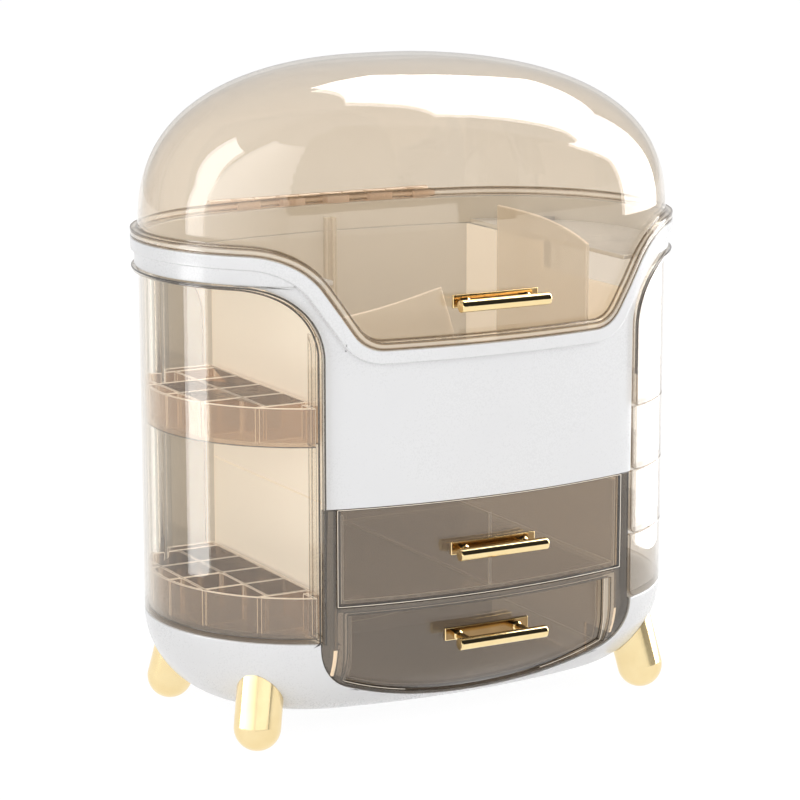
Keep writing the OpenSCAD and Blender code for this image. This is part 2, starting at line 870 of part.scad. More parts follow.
// ---- Side pods: plan of a pod, shrunk by off, drawn on the right side
module pod_plan(off) {
  difference() {
    intersection() {
      oval(-off);
      union() {
        translate([pod_x + off, -far]) square([far, 2 * far]);
        intersection() {
          oval(-nose_back - off);
          translate([pod_inner_x + off, -far]) square([far, 2 * far]);
        }
      }
      union() {
        translate([0, -far]) square([far, far + pivot_y]);
        translate([0, -far]) square([pivot_x, far + pivot_y + barrel_r - off]);
        translate([pivot_x, pivot_y]) circle(barrel_r - off);
      }
    }
    // The outer corner behind the pivot is cut back to the barrel
    difference() {
      translate([pivot_x, pivot_y]) square(far);
      translate([pivot_x, pivot_y]) circle(barrel_r - off);
    }
  }
}
nose_back = 9;

// Wall of a pod, open on its inner side but for the front return
module pod_wall() {
  difference() {
    pod_plan(0);
    pod_plan(clear_wall);
    translate([0, -half_depth / 2]) square([pod_inner_x + clear_wall + cut, far]);
  }
}

module barrel(z_low, z_high) {
  raised(z_low, z_high) translate([pivot_x, pivot_y]) circle(barrel_r);
}

module barrel_bore() {
  raised(0, far) translate([pivot_x, pivot_y]) circle(d = pin_d + 2 * pin_fit);
}

corner_r = 5;           // round lower corner of a tray's front edge
tray_floor = 2;
inner_wall_h = 26;
module right_tray(index) {
  z_low = rim_z + pod_gap + index * tray_pitch;
  arched = index == plain_trays;
  z_high = arched ? pod_top_z : z_low + tray_pitch - pod_gap;
  z_inner = z_low + inner_wall_h;
  color(amber) difference() {
    union() {
      raised(z_low, z_low + tray_floor) pod_plan(0);
      // Outer wall and front return
      intersection() {
        raised(z_low, z_high) pod_wall();
        if (arched) pushed(far) pod_face(0);
      }
      // Inner side: a lower wall that the hand reaches over
      raised(z_low, z_inner) difference() {
        pod_plan(0);
        pod_plan(clear_wall);
      }
      if (arched) pod_lip_rim(z_low);
      barrel(z_low, z_high);
    }
    barrel_bore();
    // Rounded lower corner of the front edge
    translate([0, -half_depth / 2, 0]) pushed(0) difference() {
      translate([pod_x - cut, z_low - cut]) square([corner_r + cut, corner_r + cut]);
      translate([pod_x + corner_r, z_low + corner_r]) circle(corner_r);
    }
  }
}

// Lip round the arched top of a pod
lip_t = 2;
module pod_lip_rim(z_low) {
  intersection() {
    raised(z_low, pod_top_z) intersection() {
      oval_ring(pod_lip, -clear_wall);
      translate([pod_x, -far]) square([far, far + pivot_y - barrel_r]);
    }
    pushed(far) difference() {
      pod_face(0);
      pod_face(-lip_t);
    }
  }
}

module left_door() {
  z_low = rim_z + pod_gap;
  mirror([1, 0, 0]) color(amber) difference() {
    union() {
      raised(z_low, z_low + tray_floor) pod_plan(0);
      intersection() {
        raised(z_low, pod_top_z) pod_wall();
        pushed(far) pod_face(0);
      }
      pod_lip_rim(z_low);
      barrel(z_low, pod_top_z);
    }
    barrel_bore();
  }
}

module rack_plan() {
  difference() {
    pod_plan(clear_wall + u_gap);
    translate([pivot_x, pivot_y]) circle(barrel_r + u_gap);
  }
}

rack_cells = 4;
inner_long_in = 35;     // long walls, from the cabinet's end
outer_long_in = 12;
// Rack of small cells on a floor, for the door pod
module left_rack(z_low, rack_h) {
  mirror([1, 0, 0]) color(smoke) {
    raised(z_low, z_low + tray_floor) rack_plan();
    raised(z_low + tray_floor, z_low + rack_h) intersection() {
      rack_plan();
      union() {
        // Rim of the rack
        difference() {
          pod_plan(clear_wall + u_gap);
          pod_plan(clear_wall + u_gap + rack_wall);
        }
        // Cross walls
        for (i = [0:rack_cells]) translate([0, rack_front_y + i * rack_pitch]) {
          square([far, rack_wall]);
        }
        // Long walls
        translate([body_w / 2 - inner_long_in, rack_front_y]) square([rack_wall, rack_cells * rack_pitch]);
        translate([body_w / 2 - outer_long_in, rack_front_y + rack_pitch / 2]) {
          square([rack_wall, (rack_cells - 1) * rack_pitch]);
        }
      }
    }
  }
}

// ---- Upper drawer
tub_gap = 0.9;
upper_face = -1;        // the front's outer face, measured from the oval
front_drop = 1;         // how far the front reaches below the tub
tub_drop = 4;           // how far the tub stays below the front's height
divider_drop = 6;
module upper_drawer_front() {
  color(smoke) raised(upper_z, upper_z + upper_h) intersection() {
    oval_ring(upper_face, upper_face - front_t);
    translate([-upper_half_w, -far]) square([2 * upper_half_w, far]);
  }
}

tub_x = bay_x - tub_gap;
upper_floor_z = upper_z + front_drop;
upper_tub_h = upper_h - tub_drop;
module upper_drawer_tub() {
  color(smoke) difference() {
    raised(upper_floor_z, upper_floor_z + upper_tub_h) intersection() {
      oval(upper_face - front_t);
      translate([-tub_x, -far]) square([2 * tub_x, far + upper_back_y]);
    }
    raised(upper_floor_z + tub_wall, far) {
      translate([-tub_x + tub_wall, -far]) {
        square([2 * (tub_x - tub_wall), far + upper_back_y - tub_wall]);
      }
    }
  }
}

module upper_drawer_divider() {
  inner_back = upper_back_y - tub_wall;
  top_z = upper_floor_z + upper_tub_h - divider_drop;
  color(smoke) raised(upper_floor_z + tub_wall, top_z) intersection() {
    oval(upper_face - front_t);
    translate([-tub_wall / 2, -far]) square([tub_wall, far + inner_back]);
  }
}

// ---- Lower drawer
curve_drop = 5;         // how far the front's curve starts below the opening's floor
side_drop = 2.4;        // how far the tub stays inside the front's sides
top_drop = 2;           // how far the tub stays below the front's top
trough_gap = 0.6;       // between the tub and the front's lower edge
lower_mid_z = u_floor_z + lower_curve_r - curve_drop;
lower_tub_x = lower_half_w - side_drop;
lower_tub_top = lower_top_z - top_drop;
u_drawer = u_gap + u_lip + drawer_gap;

module lower_outer(inset) {
  translate([0, side_y, 0]) rotate_extrude($fn = long_fn) {
    foot_profile(side_r - lower_setback - inset, lower_curve_r - inset, lower_mid_z, far);
  }
}

module lower_drawer_front() {
  color(smoke) intersection() {
    difference() {
      lower_outer(0);
      lower_outer(front_t);
    }
    translate([0, -half_depth / 3, 0]) pushed(0) intersection() {
      u_face(-u_drawer, lower_top_z);
      translate([-lower_half_w, 0]) square([2 * lower_half_w, far]);
    }
  }
}

module trough_face(inset) {
  intersection() {
    u_face(-u_drawer - trough_gap - inset, lower_tub_top);
    translate([-lower_tub_x + inset, 0]) square([2 * (lower_tub_x - inset), far]);
  }
}

module lower_drawer_tub() {
  color(smoke) intersection() {
    difference() {
      pushed(lower_back_y) trough_face(0);
      translate([0, -tub_wall, 0]) pushed(lower_back_y) trough_face(tub_wall);
      pushed(lower_back_y - tub_wall) translate([0, lower_tub_top - cut]) trough_top();
    }
    lower_outer(front_t);
  }
}

module trough_top() {
  translate([-lower_tub_x + tub_wall, 0]) square([2 * (lower_tub_x - tub_wall), 2 * cut]);
}

base_bowl();
foot(-1, -1);  // front_left_foot
foot(1, -1);  // front_right_foot
foot(-1, 1);  // rear_left_foot
foot(1, 1);  // rear_right_foot
foot_screws();
drawer_cabinet();
drawer_shelf();
upper_shell();
shoulder_decks();
rear_shell();
top_bin();
tall_divider();
low_divider();
pivot_pin(-1);  // left_pivot_pin
pivot_pin(1);  // right_pivot_pin
hinge_bracket();
hinge_pin();
lid_dome();
lid_hinge_leaf();
handle_plate(lid_bar_z + plate_up, 0);  // lid_handle_plate
handle_bar(lid_bar_z, 0);  // lid_handle_bar
left_door();
left_rack(mid_shelf_z, mid_rack_h);  // left_mid_rack
left_rack(rim_z + pod_gap + tray_floor, low_rack_h);  // left_low_rack
right_tray(0);  // right_tray_1
right_tray(1);  // right_tray_2
right_tray(2);  // right_tray_3
right_tray(3);  // right_tray_4
upper_drawer_front();
upper_drawer_tub();
upper_drawer_divider();
handle_plate(upper_bar_z + plate_up, upper_face);  // upper_handle_plate
handle_bar(upper_bar_z, upper_face);  // upper_handle_bar
lower_drawer_front();
lower_drawer_tub();
handle_plate(lower_bar_z + plate_up, -lower_setback);  // lower_handle_plate
handle_bar(lower_bar_z, -lower_setback);  // lower_handle_bar
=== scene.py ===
"""Dustproof makeup organizer: eased edges, finishes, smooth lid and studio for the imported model."""

import json
import logging
import math
from collections.abc import Callable
from dataclasses import dataclass, field
from enum import Enum

import bmesh
import bpy
from mathutils import Matrix, Vector


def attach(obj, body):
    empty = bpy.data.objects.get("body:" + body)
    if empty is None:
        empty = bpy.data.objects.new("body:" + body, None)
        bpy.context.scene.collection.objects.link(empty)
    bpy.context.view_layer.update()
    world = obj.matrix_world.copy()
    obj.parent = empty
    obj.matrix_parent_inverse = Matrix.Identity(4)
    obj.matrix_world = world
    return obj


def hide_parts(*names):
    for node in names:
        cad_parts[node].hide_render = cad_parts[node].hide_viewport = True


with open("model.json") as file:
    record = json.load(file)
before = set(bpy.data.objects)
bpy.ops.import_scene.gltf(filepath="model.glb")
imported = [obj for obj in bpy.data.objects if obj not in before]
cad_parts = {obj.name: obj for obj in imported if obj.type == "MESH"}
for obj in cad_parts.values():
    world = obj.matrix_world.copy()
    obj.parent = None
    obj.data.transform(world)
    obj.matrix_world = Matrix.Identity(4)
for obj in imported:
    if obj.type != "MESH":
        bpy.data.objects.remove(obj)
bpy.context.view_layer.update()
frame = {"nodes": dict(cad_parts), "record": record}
LOG = logging.getLogger("organizer")
MM = 0.001
WELD = 2e-6
FLAT_ANGLE = math.radians(0.4)
ROUNDED_ANGLE = math.radians(38.0)
LINED_ANGLE = math.radians(45.0)
END_FACE_ANGLE = math.radians(50.0)
SHARP_ANGLE = math.radians(40.0)
ROUNDING_STEPS = 2
CORNER = 0.3
Z_TO_X = Matrix.Rotation(math.pi / 2, 4, "Y")
Z_TO_Y = Matrix.Rotation(-math.pi / 2, 4, "X")
FACING_FRONT = Matrix.Rotation(math.pi / 2, 4, "X")
FACING_RIGHT = Matrix(((0, 0, 1, 0), (1, 0, 0, 0), (0, 1, 0, 0), (0, 0, 0, 1)))
WHITE = (1.0, 1.0, 1.0, 1.0)
BLACK_GLOW = (0.02, 0.02)
Colour = tuple[float, float, float]
Point = tuple[float, float, float]


# ---- Shader maths ---------------------------------------------------------------------


class Value:
    """A number that varies over a surface; arithmetic on it adds Math nodes."""

    def __init__(self, graph: "Graph", socket: bpy.types.NodeSocket) -> None:
        """Wrap the output socket of a node in graph."""
        self.graph = graph
        self.socket = socket

    def math(self, operation: str, *others: "Value | float") -> "Value":
        """Return a Math node's result.

        Args:
            operation: Name of the Math node's operation.
            others: Its second and third value.

        Returns:
            The result as a new value.
        """
        return self.graph.math(operation, self, *others)

    def __add__(self, other: "Value | float") -> "Value":
        """Return the sum."""
        return self.math("ADD", other)

    __radd__ = __add__

    def __mul__(self, other: "Value | float") -> "Value":
        """Return the product."""
        return self.math("MULTIPLY", other)

    __rmul__ = __mul__

    def __sub__(self, other: "Value | float") -> "Value":
        """Return the difference."""
        return self.math("SUBTRACT", other)

    def __rsub__(self, other: float) -> "Value":
        """Return the difference from a plain number."""
        return self.graph.math("SUBTRACT", other, self)

    def __pow__(self, other: float) -> "Value":
        """Return a power."""
        return self.math("POWER", other)

    def clamped(self, low: float = 0.0, high: float = 1.0) -> "Value":
        """Return the value kept between low and high."""
        return self.math("MAXIMUM", low).math("MINIMUM", high)


class NodeTree:
    """Node tree that is filled through a single method."""

    def __init__(self, tree: bpy.types.NodeTree) -> None:
        """Start on an existing tree, which is emptied."""
        self.tree = tree
        self.tree.nodes.clear()

    def node(self, kind: str, settings: dict | None = None, inputs: dict | None = None) -> bpy.types.Node:
        """Add a node.

        Args:
            kind: The node's type.
            settings: Its properties.
            inputs: What each input socket gets, a value, a node, a socket or a constant.

        Returns:
            The new node.
        """
        made = self.tree.nodes.new(kind)
        for key, setting in (settings or {}).items():
            setattr(made, key, setting)
        for key, given in (inputs or {}).items():
            socket = made.inputs[key]
            if isinstance(given, Value):
                self.tree.links.new(given.socket, socket)
            elif isinstance(given, bpy.types.Node):
                self.tree.links.new(given.outputs[0], socket)
            elif isinstance(given, bpy.types.NodeSocket):
                self.tree.links.new(given, socket)
            else:
                socket.default_value = given
        return made


class Graph(NodeTree):
    """Shader tree with nodes for maths, colours and textures."""

    material: bpy.types.Material | None = None

    @classmethod
    def of_material(cls, name: str) -> "Graph":
        """Make a new material.

        Args:
            name: Its name.

        Returns:
            Its tree.
        """
        material = bpy.data.materials.new(name)
        material.use_nodes = True
        made = cls(material.node_tree)
        made.material = material
        return made

    def value(self, kind: str, settings: dict | None = None, inputs: dict | None = None,
              output: int | str = 0) -> Value:
        """Add a node and return one of its outputs as a value.

        Args:
            kind: The node's type.
            settings: Its properties.
            inputs: What its sockets get.
            output: Name or number of the output.

        Returns:
            That output.
        """
        return Value(self, self.node(kind, settings, inputs).outputs[output])

    def math(self, operation: str, *terms: Value | float) -> Value:
        """Return the result of a Math node.

        Args:
            operation: Name of its operation.
            terms: Its values.

        Returns:
            The result.
        """
        return self.value("ShaderNodeMath", {"operation": operation}, dict(enumerate(terms)))

    def mix(self, share: Value | float, first: Value | Colour, second: Value | Colour) -> Value:
        """Blend two colours.

        Args:
            share: How much of the second shows.
            first: Colour at share 0.
            second: Colour at share 1.

        Returns:
            The blended colour.
        """
        ends = [(*c, 1.0) if isinstance(c, tuple) else c for c in (first, second)]
        return self.value("ShaderNodeMix", {"data_type": "RGBA"}, {0: share, 6: ends[0], 7: ends[1]}, 2)

    def noise(self, size: float, detail: float = 2.0, rough: float = 0.5) -> Value:
        """Return soft noise on the object's own coordinates.

        Args:
            size: Size of its blotches in metres.
            detail: Number of finer layers.
            rough: Strength of the finer layers.

        Returns:
            A value around 0.5.
        """
        place = self.node("ShaderNodeTexCoord").outputs["Object"]
        return self.value("ShaderNodeTexNoise", {}, {
            "Vector": place, "Scale": 1.0 / size, "Detail": detail, "Roughness": rough})

    def bump(self, height: Value, depth: float, strength: float = 1.0) -> bpy.types.Node:
        """Return a Bump node.

        Args:
            height: Relief between 0 and 1.
            depth: Its real depth in metres.
            strength: How strongly it shows.

        Returns:
            The node.
        """
        return self.node("ShaderNodeBump", {}, {"Height": height, "Distance": depth, "Strength": strength})

    def output(self, surface: bpy.types.Node) -> bpy.types.Material:
        """Connect the surface to the output.

        Args:
            surface: The shader node of the surface.

        Returns:
            The material.
        """
        self.node("ShaderNodeOutputMaterial", {}, {"Surface": surface})
        return self.material


# ---- Finishes -------------------------------------------------------------------------


@dataclass(frozen=True)
class ClearPlastic:
    """Clear tinted moulding: it lets light through, scatters a little and reflects at its skin.

    Attributes:
        name: Name of the material.
        tint: What one surface lets through.
        body: Colour of the light that the plastic scatters.
        edge: Colour along turned-away edges.
        veil: Share of the surface that scatters.
        edge_veil: The same share where the surface turns away.
        edge_power: How close to the outline the edge colour stays.
        rough: Roughness of the polish.
        gloss: Reflection where the surface faces the eye.
        glow: Painted glow, an emission in the body colour that lifts the plastic where the lamps leave it
            too dark, as a share of its body colour.
        flow_size: Size of the flow pattern's clouds in metres.
        flow_depth: Its relief in metres.
        grain_size: Size of the polish's fine grain in metres.
        grain_rough: How much the grain adds to the roughness.
        veil_drift: How much the flow pattern changes the share that scatters.
        mirror_power: How close to the outline full reflection stays.
    """

    name: str
    tint: Colour
    body: Colour
    edge: Colour
    veil: float
    edge_veil: float = 0.3
    edge_power: float = 3.0
    rough: float = 0.03
    gloss: float = 0.05
    glow: float = 0.0
    flow_size: float = 0.035
    flow_depth: float = 0.0004
    grain_size: float = 0.0016
    grain_rough: float = 0.02
    veil_drift: float = 0.02
    mirror_power: float = 5.0

    def build(self) -> bpy.types.Material:
        """Return the material."""
        g = Graph.of_material(self.name)
        turned = g.value("ShaderNodeLayerWeight", {}, {"Blend": 0.5}, "Facing")
        rim = (turned ** self.edge_power).clamped()
        cloud = g.noise(self.flow_size, 3.0)
        fine = g.noise(self.grain_size, 2.0, 0.6)
        flow = g.bump(cloud, self.flow_depth, 0.2)
        rough = (fine * self.grain_rough + (self.rough - self.grain_rough / 2)).clamped(0.005, 1.0)
        colour = g.mix(rim, self.body, self.edge)
        # Its emission is painted glow: light that the lamps do not give.
        skin = g.node("ShaderNodeBsdfPrincipled", {}, {
            "Base Color": colour, "Roughness": rough, "IOR": 1.5, "Normal": flow,
            "Emission Color": colour, "Emission Strength": self.glow})
        behind = g.node("ShaderNodeBsdfTransparent", {}, {"Color": (*self.tint, 1.0)})
        veil = rim * (self.edge_veil - self.veil) + self.veil
        share = (veil + (cloud - 0.5) * self.veil_drift).clamped()
        inside = g.node("ShaderNodeMixShader", {}, {0: share, 1: behind, 2: skin})
        mirror = g.node("ShaderNodeBsdfPrincipled", {}, {
            "Base Color": WHITE, "Metallic": 1.0, "Roughness": rough, "Normal": flow})
        reflected = (turned ** self.mirror_power * (1.0 - self.gloss) + self.gloss).clamped()
        return g.output(g.node("ShaderNodeMixShader", {}, {0: reflected, 1: inside, 2: mirror}))


@dataclass(frozen=True)
class MouldedPlastic:
    """Opaque glossy plastic with a faint flow pattern and fine texture.

    Attributes:
        name: Name of the material.
        colour: Its main colour.
        shade: Colour of the flow pattern's darker parts.
        rough: Roughness under the polish.
        coat: Strength of the polish.
        glow: Painted glow, an emission in its colour that lifts the plastic where the lamps leave it too
            dark, as a share of its colour.
        flow_size: Size of the flow pattern's clouds in metres.
        grain_size: Size of the fine texture in metres.
        grain_depth: Its relief in metres.
        grain_rough: How much it adds to the roughness.
        flow_rough: How much the flow pattern changes the roughness.
        coat_rough: Roughness of the polish.
    """

    name: str
    colour: Colour
    shade: Colour
    rough: float = 0.28
    coat: float = 0.35
    glow: float = 0.0
    flow_size: float = 0.05
    grain_size: float = 0.0009
    grain_depth: float = 0.00002
    grain_rough: float = 0.06
    flow_rough: float = 0.05
    coat_rough: float = 0.08

    def build(self) -> bpy.types.Material:
        """Return the material."""
        g = Graph.of_material(self.name)
        cloud = g.noise(self.flow_size, 3.0)
        fine = g.noise(self.grain_size, 2.0, 0.6)
        colour = g.mix(((cloud - 0.35) * 1.4).clamped(), self.colour, self.shade)
        rough = fine * self.grain_rough + (self.rough - self.grain_rough / 2)
        rough = rough + (cloud - 0.5) * self.flow_rough
        # Its emission is painted glow: light that the lamps do not give.
        skin = g.node("ShaderNodeBsdfPrincipled", {}, {
            "Base Color": colour,
            "Emission Color": colour,
            "Emission Strength": self.glow,
            "Roughness": rough.clamped(0.02, 1.0),
            "IOR": 1.5,
            "Coat Weight": self.coat,
            "Coat Roughness": self.coat_rough,
            "Normal": g.bump(fine, self.grain_depth, 0.03),
        })
        return g.output(skin)


@dataclass(frozen=True)
class Metal:
    """Plated or plain metal with fine polishing marks along one axis.

    Attributes:
        name: Name of the material.
        colour: Colour of the bright metal.
        shade: Colour of its darker patches.
        rough: Roughness of the polish.
        marks: Strength of the polishing marks.
        along: Stretch of the marks on the three axes.
        mark_scale: Number of marks in a metre, across them.
        mark_depth: Their relief in metres.
        patch_size: Size of the darker patches in metres.
        mark_rough: How much the marks add to the roughness.
        patch_rough: How much the patches add to it.
        mean_rough: What both add on average.
    """

    name: str
    colour: Colour
    shade: Colour
    rough: float = 0.1
    marks: float = 0.3
    along: Point = (1.0, 14.0, 14.0)
    mark_scale: float = 420.0
    mark_depth: float = 0.00002
    patch_size: float = 0.012
    mark_rough: float = 0.08
    patch_rough: float = 0.05
    mean_rough: float = 0.06

    def build(self) -> bpy.types.Material:
        """Return the material."""
        g = Graph.of_material(self.name)
        place = g.node("ShaderNodeTexCoord").outputs["Object"]
        drawn = g.node("ShaderNodeMapping", {}, {"Vector": place, "Scale": self.along})
        marks = g.value("ShaderNodeTexNoise", {}, {
            "Vector": drawn, "Scale": self.mark_scale, "Detail": 3.0})
        cloud = g.noise(self.patch_size, 3.0)
        colour = g.mix(((cloud - 0.3) * 1.6).clamped(), self.colour, self.shade)
        rough = marks * self.mark_rough + cloud * self.patch_rough + (self.rough - self.mean_rough)
        skin = g.node("ShaderNodeBsdfPrincipled", {}, {
            "Base Color": colour,
            "Metallic": 1.0,
            "Roughness": rough.clamped(0.03, 1.0),
            "Normal": g.bump(marks, self.mark_depth, self.marks),
        })
        return g.output(skin)


class Finish(Enum):
    """Every finish of the organizer, by the part of it that wears it."""

    WHITE = MouldedPlastic("white_shell", (0.86, 0.86, 0.865), (0.83, 0.83, 0.84))
    # Inward faces of the white shell: a darker, warmer copy of the white with a faint glow, painted shade as
    # if lit through the amber plastic.
    WHITE_SHADED_INSIDE = MouldedPlastic("white_inside_painted_shade", (0.80, 0.77, 0.71), (0.77, 0.74, 0.68), 0.35, 0.1, 0.05)
    # The cream partition's glow of 0.34 is painted glow that lifts it out of the shade.
    CREAM = MouldedPlastic("cream_partition", (0.92, 0.85, 0.74), (0.90, 0.82, 0.71), 0.35, 0.2, 0.34)
    DOME = ClearPlastic("amber_dome", (0.94, 0.905, 0.857), (0.78, 0.69, 0.57), (0.84, 0.79, 0.72),
                        0.02, 0.10, 4.0, 0.02)
    POD = ClearPlastic("amber_pod", (0.975, 0.955, 0.92), (0.86, 0.77, 0.65), (0.45, 0.36, 0.26),
                       0.02, 0.35, 5.0, 0.02)
    TRAY = ClearPlastic("amber_tray", (0.94, 0.91, 0.87), (0.88, 0.83, 0.76), (0.45, 0.36, 0.26),
                        0.10, 0.4, 5.0, 0.03)
    # Its glow is painted glow that brightens the bin.
    BIN = ClearPlastic("amber_bin", (0.95, 0.92, 0.87), (0.90, 0.82, 0.70), (0.60, 0.50, 0.38),
                       0.12, 0.4, 4.0, 0.05, glow=0.1)
    # Its glow is painted glow that brightens the divider.
    DIVIDER = ClearPlastic("frosted_divider", (0.95, 0.92, 0.87), (0.86, 0.79, 0.68), (0.60, 0.50, 0.38),
                           0.50, 0.6, 4.0, 0.05, glow=0.14)
    # Pale, glowing roundings and end faces: painted highlights along the edges of clear parts.
    HIGHLIGHT_EDGE = ClearPlastic("painted_highlight_edge", (0.95, 0.92, 0.87), (0.97, 0.90, 0.78), (0.75, 0.64, 0.50),
                              0.5, 0.7, 2.5, 0.03, glow=0.2)
    # Its glow is painted glow that lifts the hinge tabs out of their shadow.
    TAB = ClearPlastic("hinge_tab", (0.94, 0.88, 0.82), (0.93, 0.78, 0.66), (0.50, 0.38, 0.28),
                       0.4, 0.8, 2.5, 0.04, glow=0.35)
    # Its glow is painted glow that brightens the flange's band.
    FLANGE = ClearPlastic("amber_flange", (0.96, 0.93, 0.88), (0.94, 0.86, 0.75), (0.62, 0.52, 0.40),
                          0.3, 0.5, 3.0, 0.02, glow=0.22)
    # Dark brown beads and corner bands of the flange: painted dark lines that stand in for refraction shade.
    FLANGE_SHADE_LINE = ClearPlastic("painted_flange_shade_line", (0.80, 0.72, 0.62), (0.30, 0.23, 0.16), (0.14, 0.10, 0.07),
                             0.45, 0.6, 2.5, 0.03)
    # Cream, glowing beads: painted highlights along top and front edges.
    HIGHLIGHT_LINE = ClearPlastic("painted_highlight_line", (0.95, 0.90, 0.84), (0.97, 0.90, 0.80), (0.80, 0.70, 0.58),
                              0.7, 0.8, 2.5, 0.03, glow=0.35)
    # Near-black beads: painted dark lines that stand in for the refraction shade along clear edges.
    SHADE_LINE = ClearPlastic("painted_shade_line", (0.70, 0.62, 0.52), (0.06, 0.048, 0.036), (0.03, 0.024, 0.018),
                             0.7, 0.8, 2.5, 0.03)
    # Its glow is painted glow that lifts the rack behind the door.
    RACK = ClearPlastic("brown_rack", (0.92, 0.83, 0.72), (0.70, 0.53, 0.38), (0.34, 0.23, 0.15),
                        0.15, 0.5, 3.0, 0.05, glow=0.3)
    # Darker copy of the brown rack for the lower rack: painted shade for its place low in the pod. Its glow
    # is painted glow.
    SHADED_LOW_RACK = ClearPlastic("shaded_low_brown_rack", (0.86, 0.76, 0.65), (0.46, 0.36, 0.27), (0.20, 0.14, 0.09),
                            0.15, 0.5, 3.0, 0.05, glow=0.18)
    # Paler, glowing end faces of the racks: painted highlights on their cell walls.
    RACK_HIGHLIGHT_EDGE = ClearPlastic("painted_rack_highlight_edge", (0.9, 0.82, 0.74), (0.80, 0.68, 0.55), (0.45, 0.33, 0.23),
                             0.35, 0.6, 2.5, 0.03, glow=0.2)
    # Its faint glow is painted glow.
    FRAME = ClearPlastic("light_frame", (0.80, 0.755, 0.70), (0.56, 0.50, 0.43), (0.10, 0.085, 0.07),
                         0.10, 0.5, 4.0, 0.04, glow=0.08)
    SMOKE = ClearPlastic("smoke_drawer", (0.79, 0.75, 0.70), (0.38, 0.34, 0.30), (0.06, 0.052, 0.045),
                         0.04, 0.5, 4.0, 0.03)
    # Its glow is painted glow that lifts the tubs inside the drawers.
    SMOKE_INSIDE = ClearPlastic("smoke_tub", (0.90, 0.87, 0.83), (0.60, 0.54, 0.48), (0.20, 0.17, 0.14),
                                0.26, 0.6, 4.0, 0.06, glow=0.25)
    # Dark roundings and end faces: painted shade for the dark lines that clear edges show.
    SHADE_EDGE = ClearPlastic("painted_shade_edge", (0.60, 0.51, 0.40), (0.20, 0.145, 0.095), (0.08, 0.055, 0.035),
                             0.35, 0.7, 2.5, 0.03)
    # Near-black roundings and end faces of the smoke parts: painted shade for their dark edge lines.
    SMOKE_SHADE_EDGE = ClearPlastic("painted_smoke_shade_edge", (0.40, 0.36, 0.31), (0.05, 0.042, 0.034), (0.02, 0.016, 0.013),
                              0.6, 0.9, 2.5, 0.03)
    GOLD = Metal("polished_gold", (0.95, 0.76, 0.42), (0.90, 0.69, 0.36), 0.10)
    GOLD_SATIN = Metal("plated_foot", (0.93, 0.76, 0.44), (0.87, 0.68, 0.36), 0.13, 0.2, (6.0, 6.0, 1.0))
    BRONZE = Metal("bronze_plate", (0.34, 0.22, 0.10), (0.26, 0.16, 0.07), 0.12)
    STEEL = Metal("bright_steel", (0.62, 0.62, 0.64), (0.55, 0.55, 0.57), 0.22)


class Paintbox:
    """Builds each finish once and hands it out."""

    def __init__(self) -> None:
        """Start with no finish built."""
        self.made: dict[Finish, bpy.types.Material] = {}

    def get(self, finish: Finish) -> bpy.types.Material:
        """Return the material of a finish.

        Args:
            finish: The finish.

        Returns:
            Its material.
        """
        if finish not in self.made:
            self.made[finish] = finish.value.build()
        return self.made[finish]


def linked(name: str, data: bpy.types.ID) -> bpy.types.Object:
    """Put a new object in the scene.

    Args:
        name: Its name.
        data: Its mesh, light or camera.

    Returns:
        The object.
    """
    thing = bpy.data.objects.new(name, data)
    bpy.context.scene.collection.objects.link(thing)
    return thing


# ---- Geometry Nodes -------------------------------------------------------------------


class Recipe(NodeTree):
    """Geometry Nodes tree with named inputs, applied to a start mesh."""

    def __init__(self, name: str) -> None:
        """Start an empty tree called name."""
        tree = bpy.data.node_groups.new(name, "GeometryNodeTree")
        super().__init__(tree)
        tree.interface.new_socket("Geometry", in_out="INPUT", socket_type="NodeSocketGeometry")
        tree.interface.new_socket("Geometry", in_out="OUTPUT", socket_type="NodeSocketGeometry")
        self.start = self.node("NodeGroupInput")
        self.sockets: dict[str, str] = {}

    def named(self, name: str, kind: str = "NodeSocketFloat") -> bpy.types.NodeSocket:
        """Add a named input and return it.

        Args:
            name: Name of the input.
            kind: Type of its socket.

        Returns:
            The socket that gives its value inside the tree.
        """
        item = self.tree.interface.new_socket(name, in_out="INPUT", socket_type=kind)
        self.sockets[name] = item.identifier
        return self.start.outputs[name]

    def close(self, shape: bpy.types.Node) -> None:
        """Realize the shape, give it its material and connect the output.

        Args:
            shape: The node that makes the shape.
        """
        paint = self.named("Material", "NodeSocketMaterial")
        real = self.node("GeometryNodeRealizeInstances", {}, {"Geometry": shape})
        smooth = self.node("GeometryNodeSetShadeSmooth", {}, {"Geometry": real})
        painted = self.node("GeometryNodeSetMaterial", {}, {"Geometry": smooth, "Material": paint})
        self.node("NodeGroupOutput", {}, {"Geometry": painted})

    def apply(self, name: str, mesh: bpy.types.Mesh, values: dict) -> bpy.types.Mesh:
        """Run the tree on a mesh.

        Args:
            name: Name of the result.
            mesh: Start mesh, which is used up.
            values: What each named input gets.

        Returns:
            The new mesh.
        """
        holder = linked(name, mesh)
        modifier = holder.modifiers.new(name, "NODES")
        modifier.node_group = self.tree
        for key, value in values.items():
            modifier[self.sockets[key]] = value
        graph = bpy.context.evaluated_depsgraph_get()
        made = bpy.data.meshes.new_from_object(holder.evaluated_get(graph), depsgraph=graph)
        made.name = name
        bpy.data.objects.remove(holder)
        bpy.data.meshes.remove(mesh)
        return made


def bead_recipe() -> Recipe:
    """Return a tree that runs a thin round bead along the edges of a mesh."""
    recipe = Recipe("bead")
    radius = recipe.named("Radius")
    curve = recipe.node("GeometryNodeMeshToCurve", {}, {"Mesh": recipe.start.outputs["Geometry"]})
    ring = recipe.node("GeometryNodeCurvePrimitiveCircle", {}, {"Resolution": 8, "Radius": radius})
    tube = recipe.node("GeometryNodeCurveToMesh", {}, {
        "Curve": curve, "Profile Curve": ring, "Fill Caps": True})
    recipe.close(tube)
    return recipe


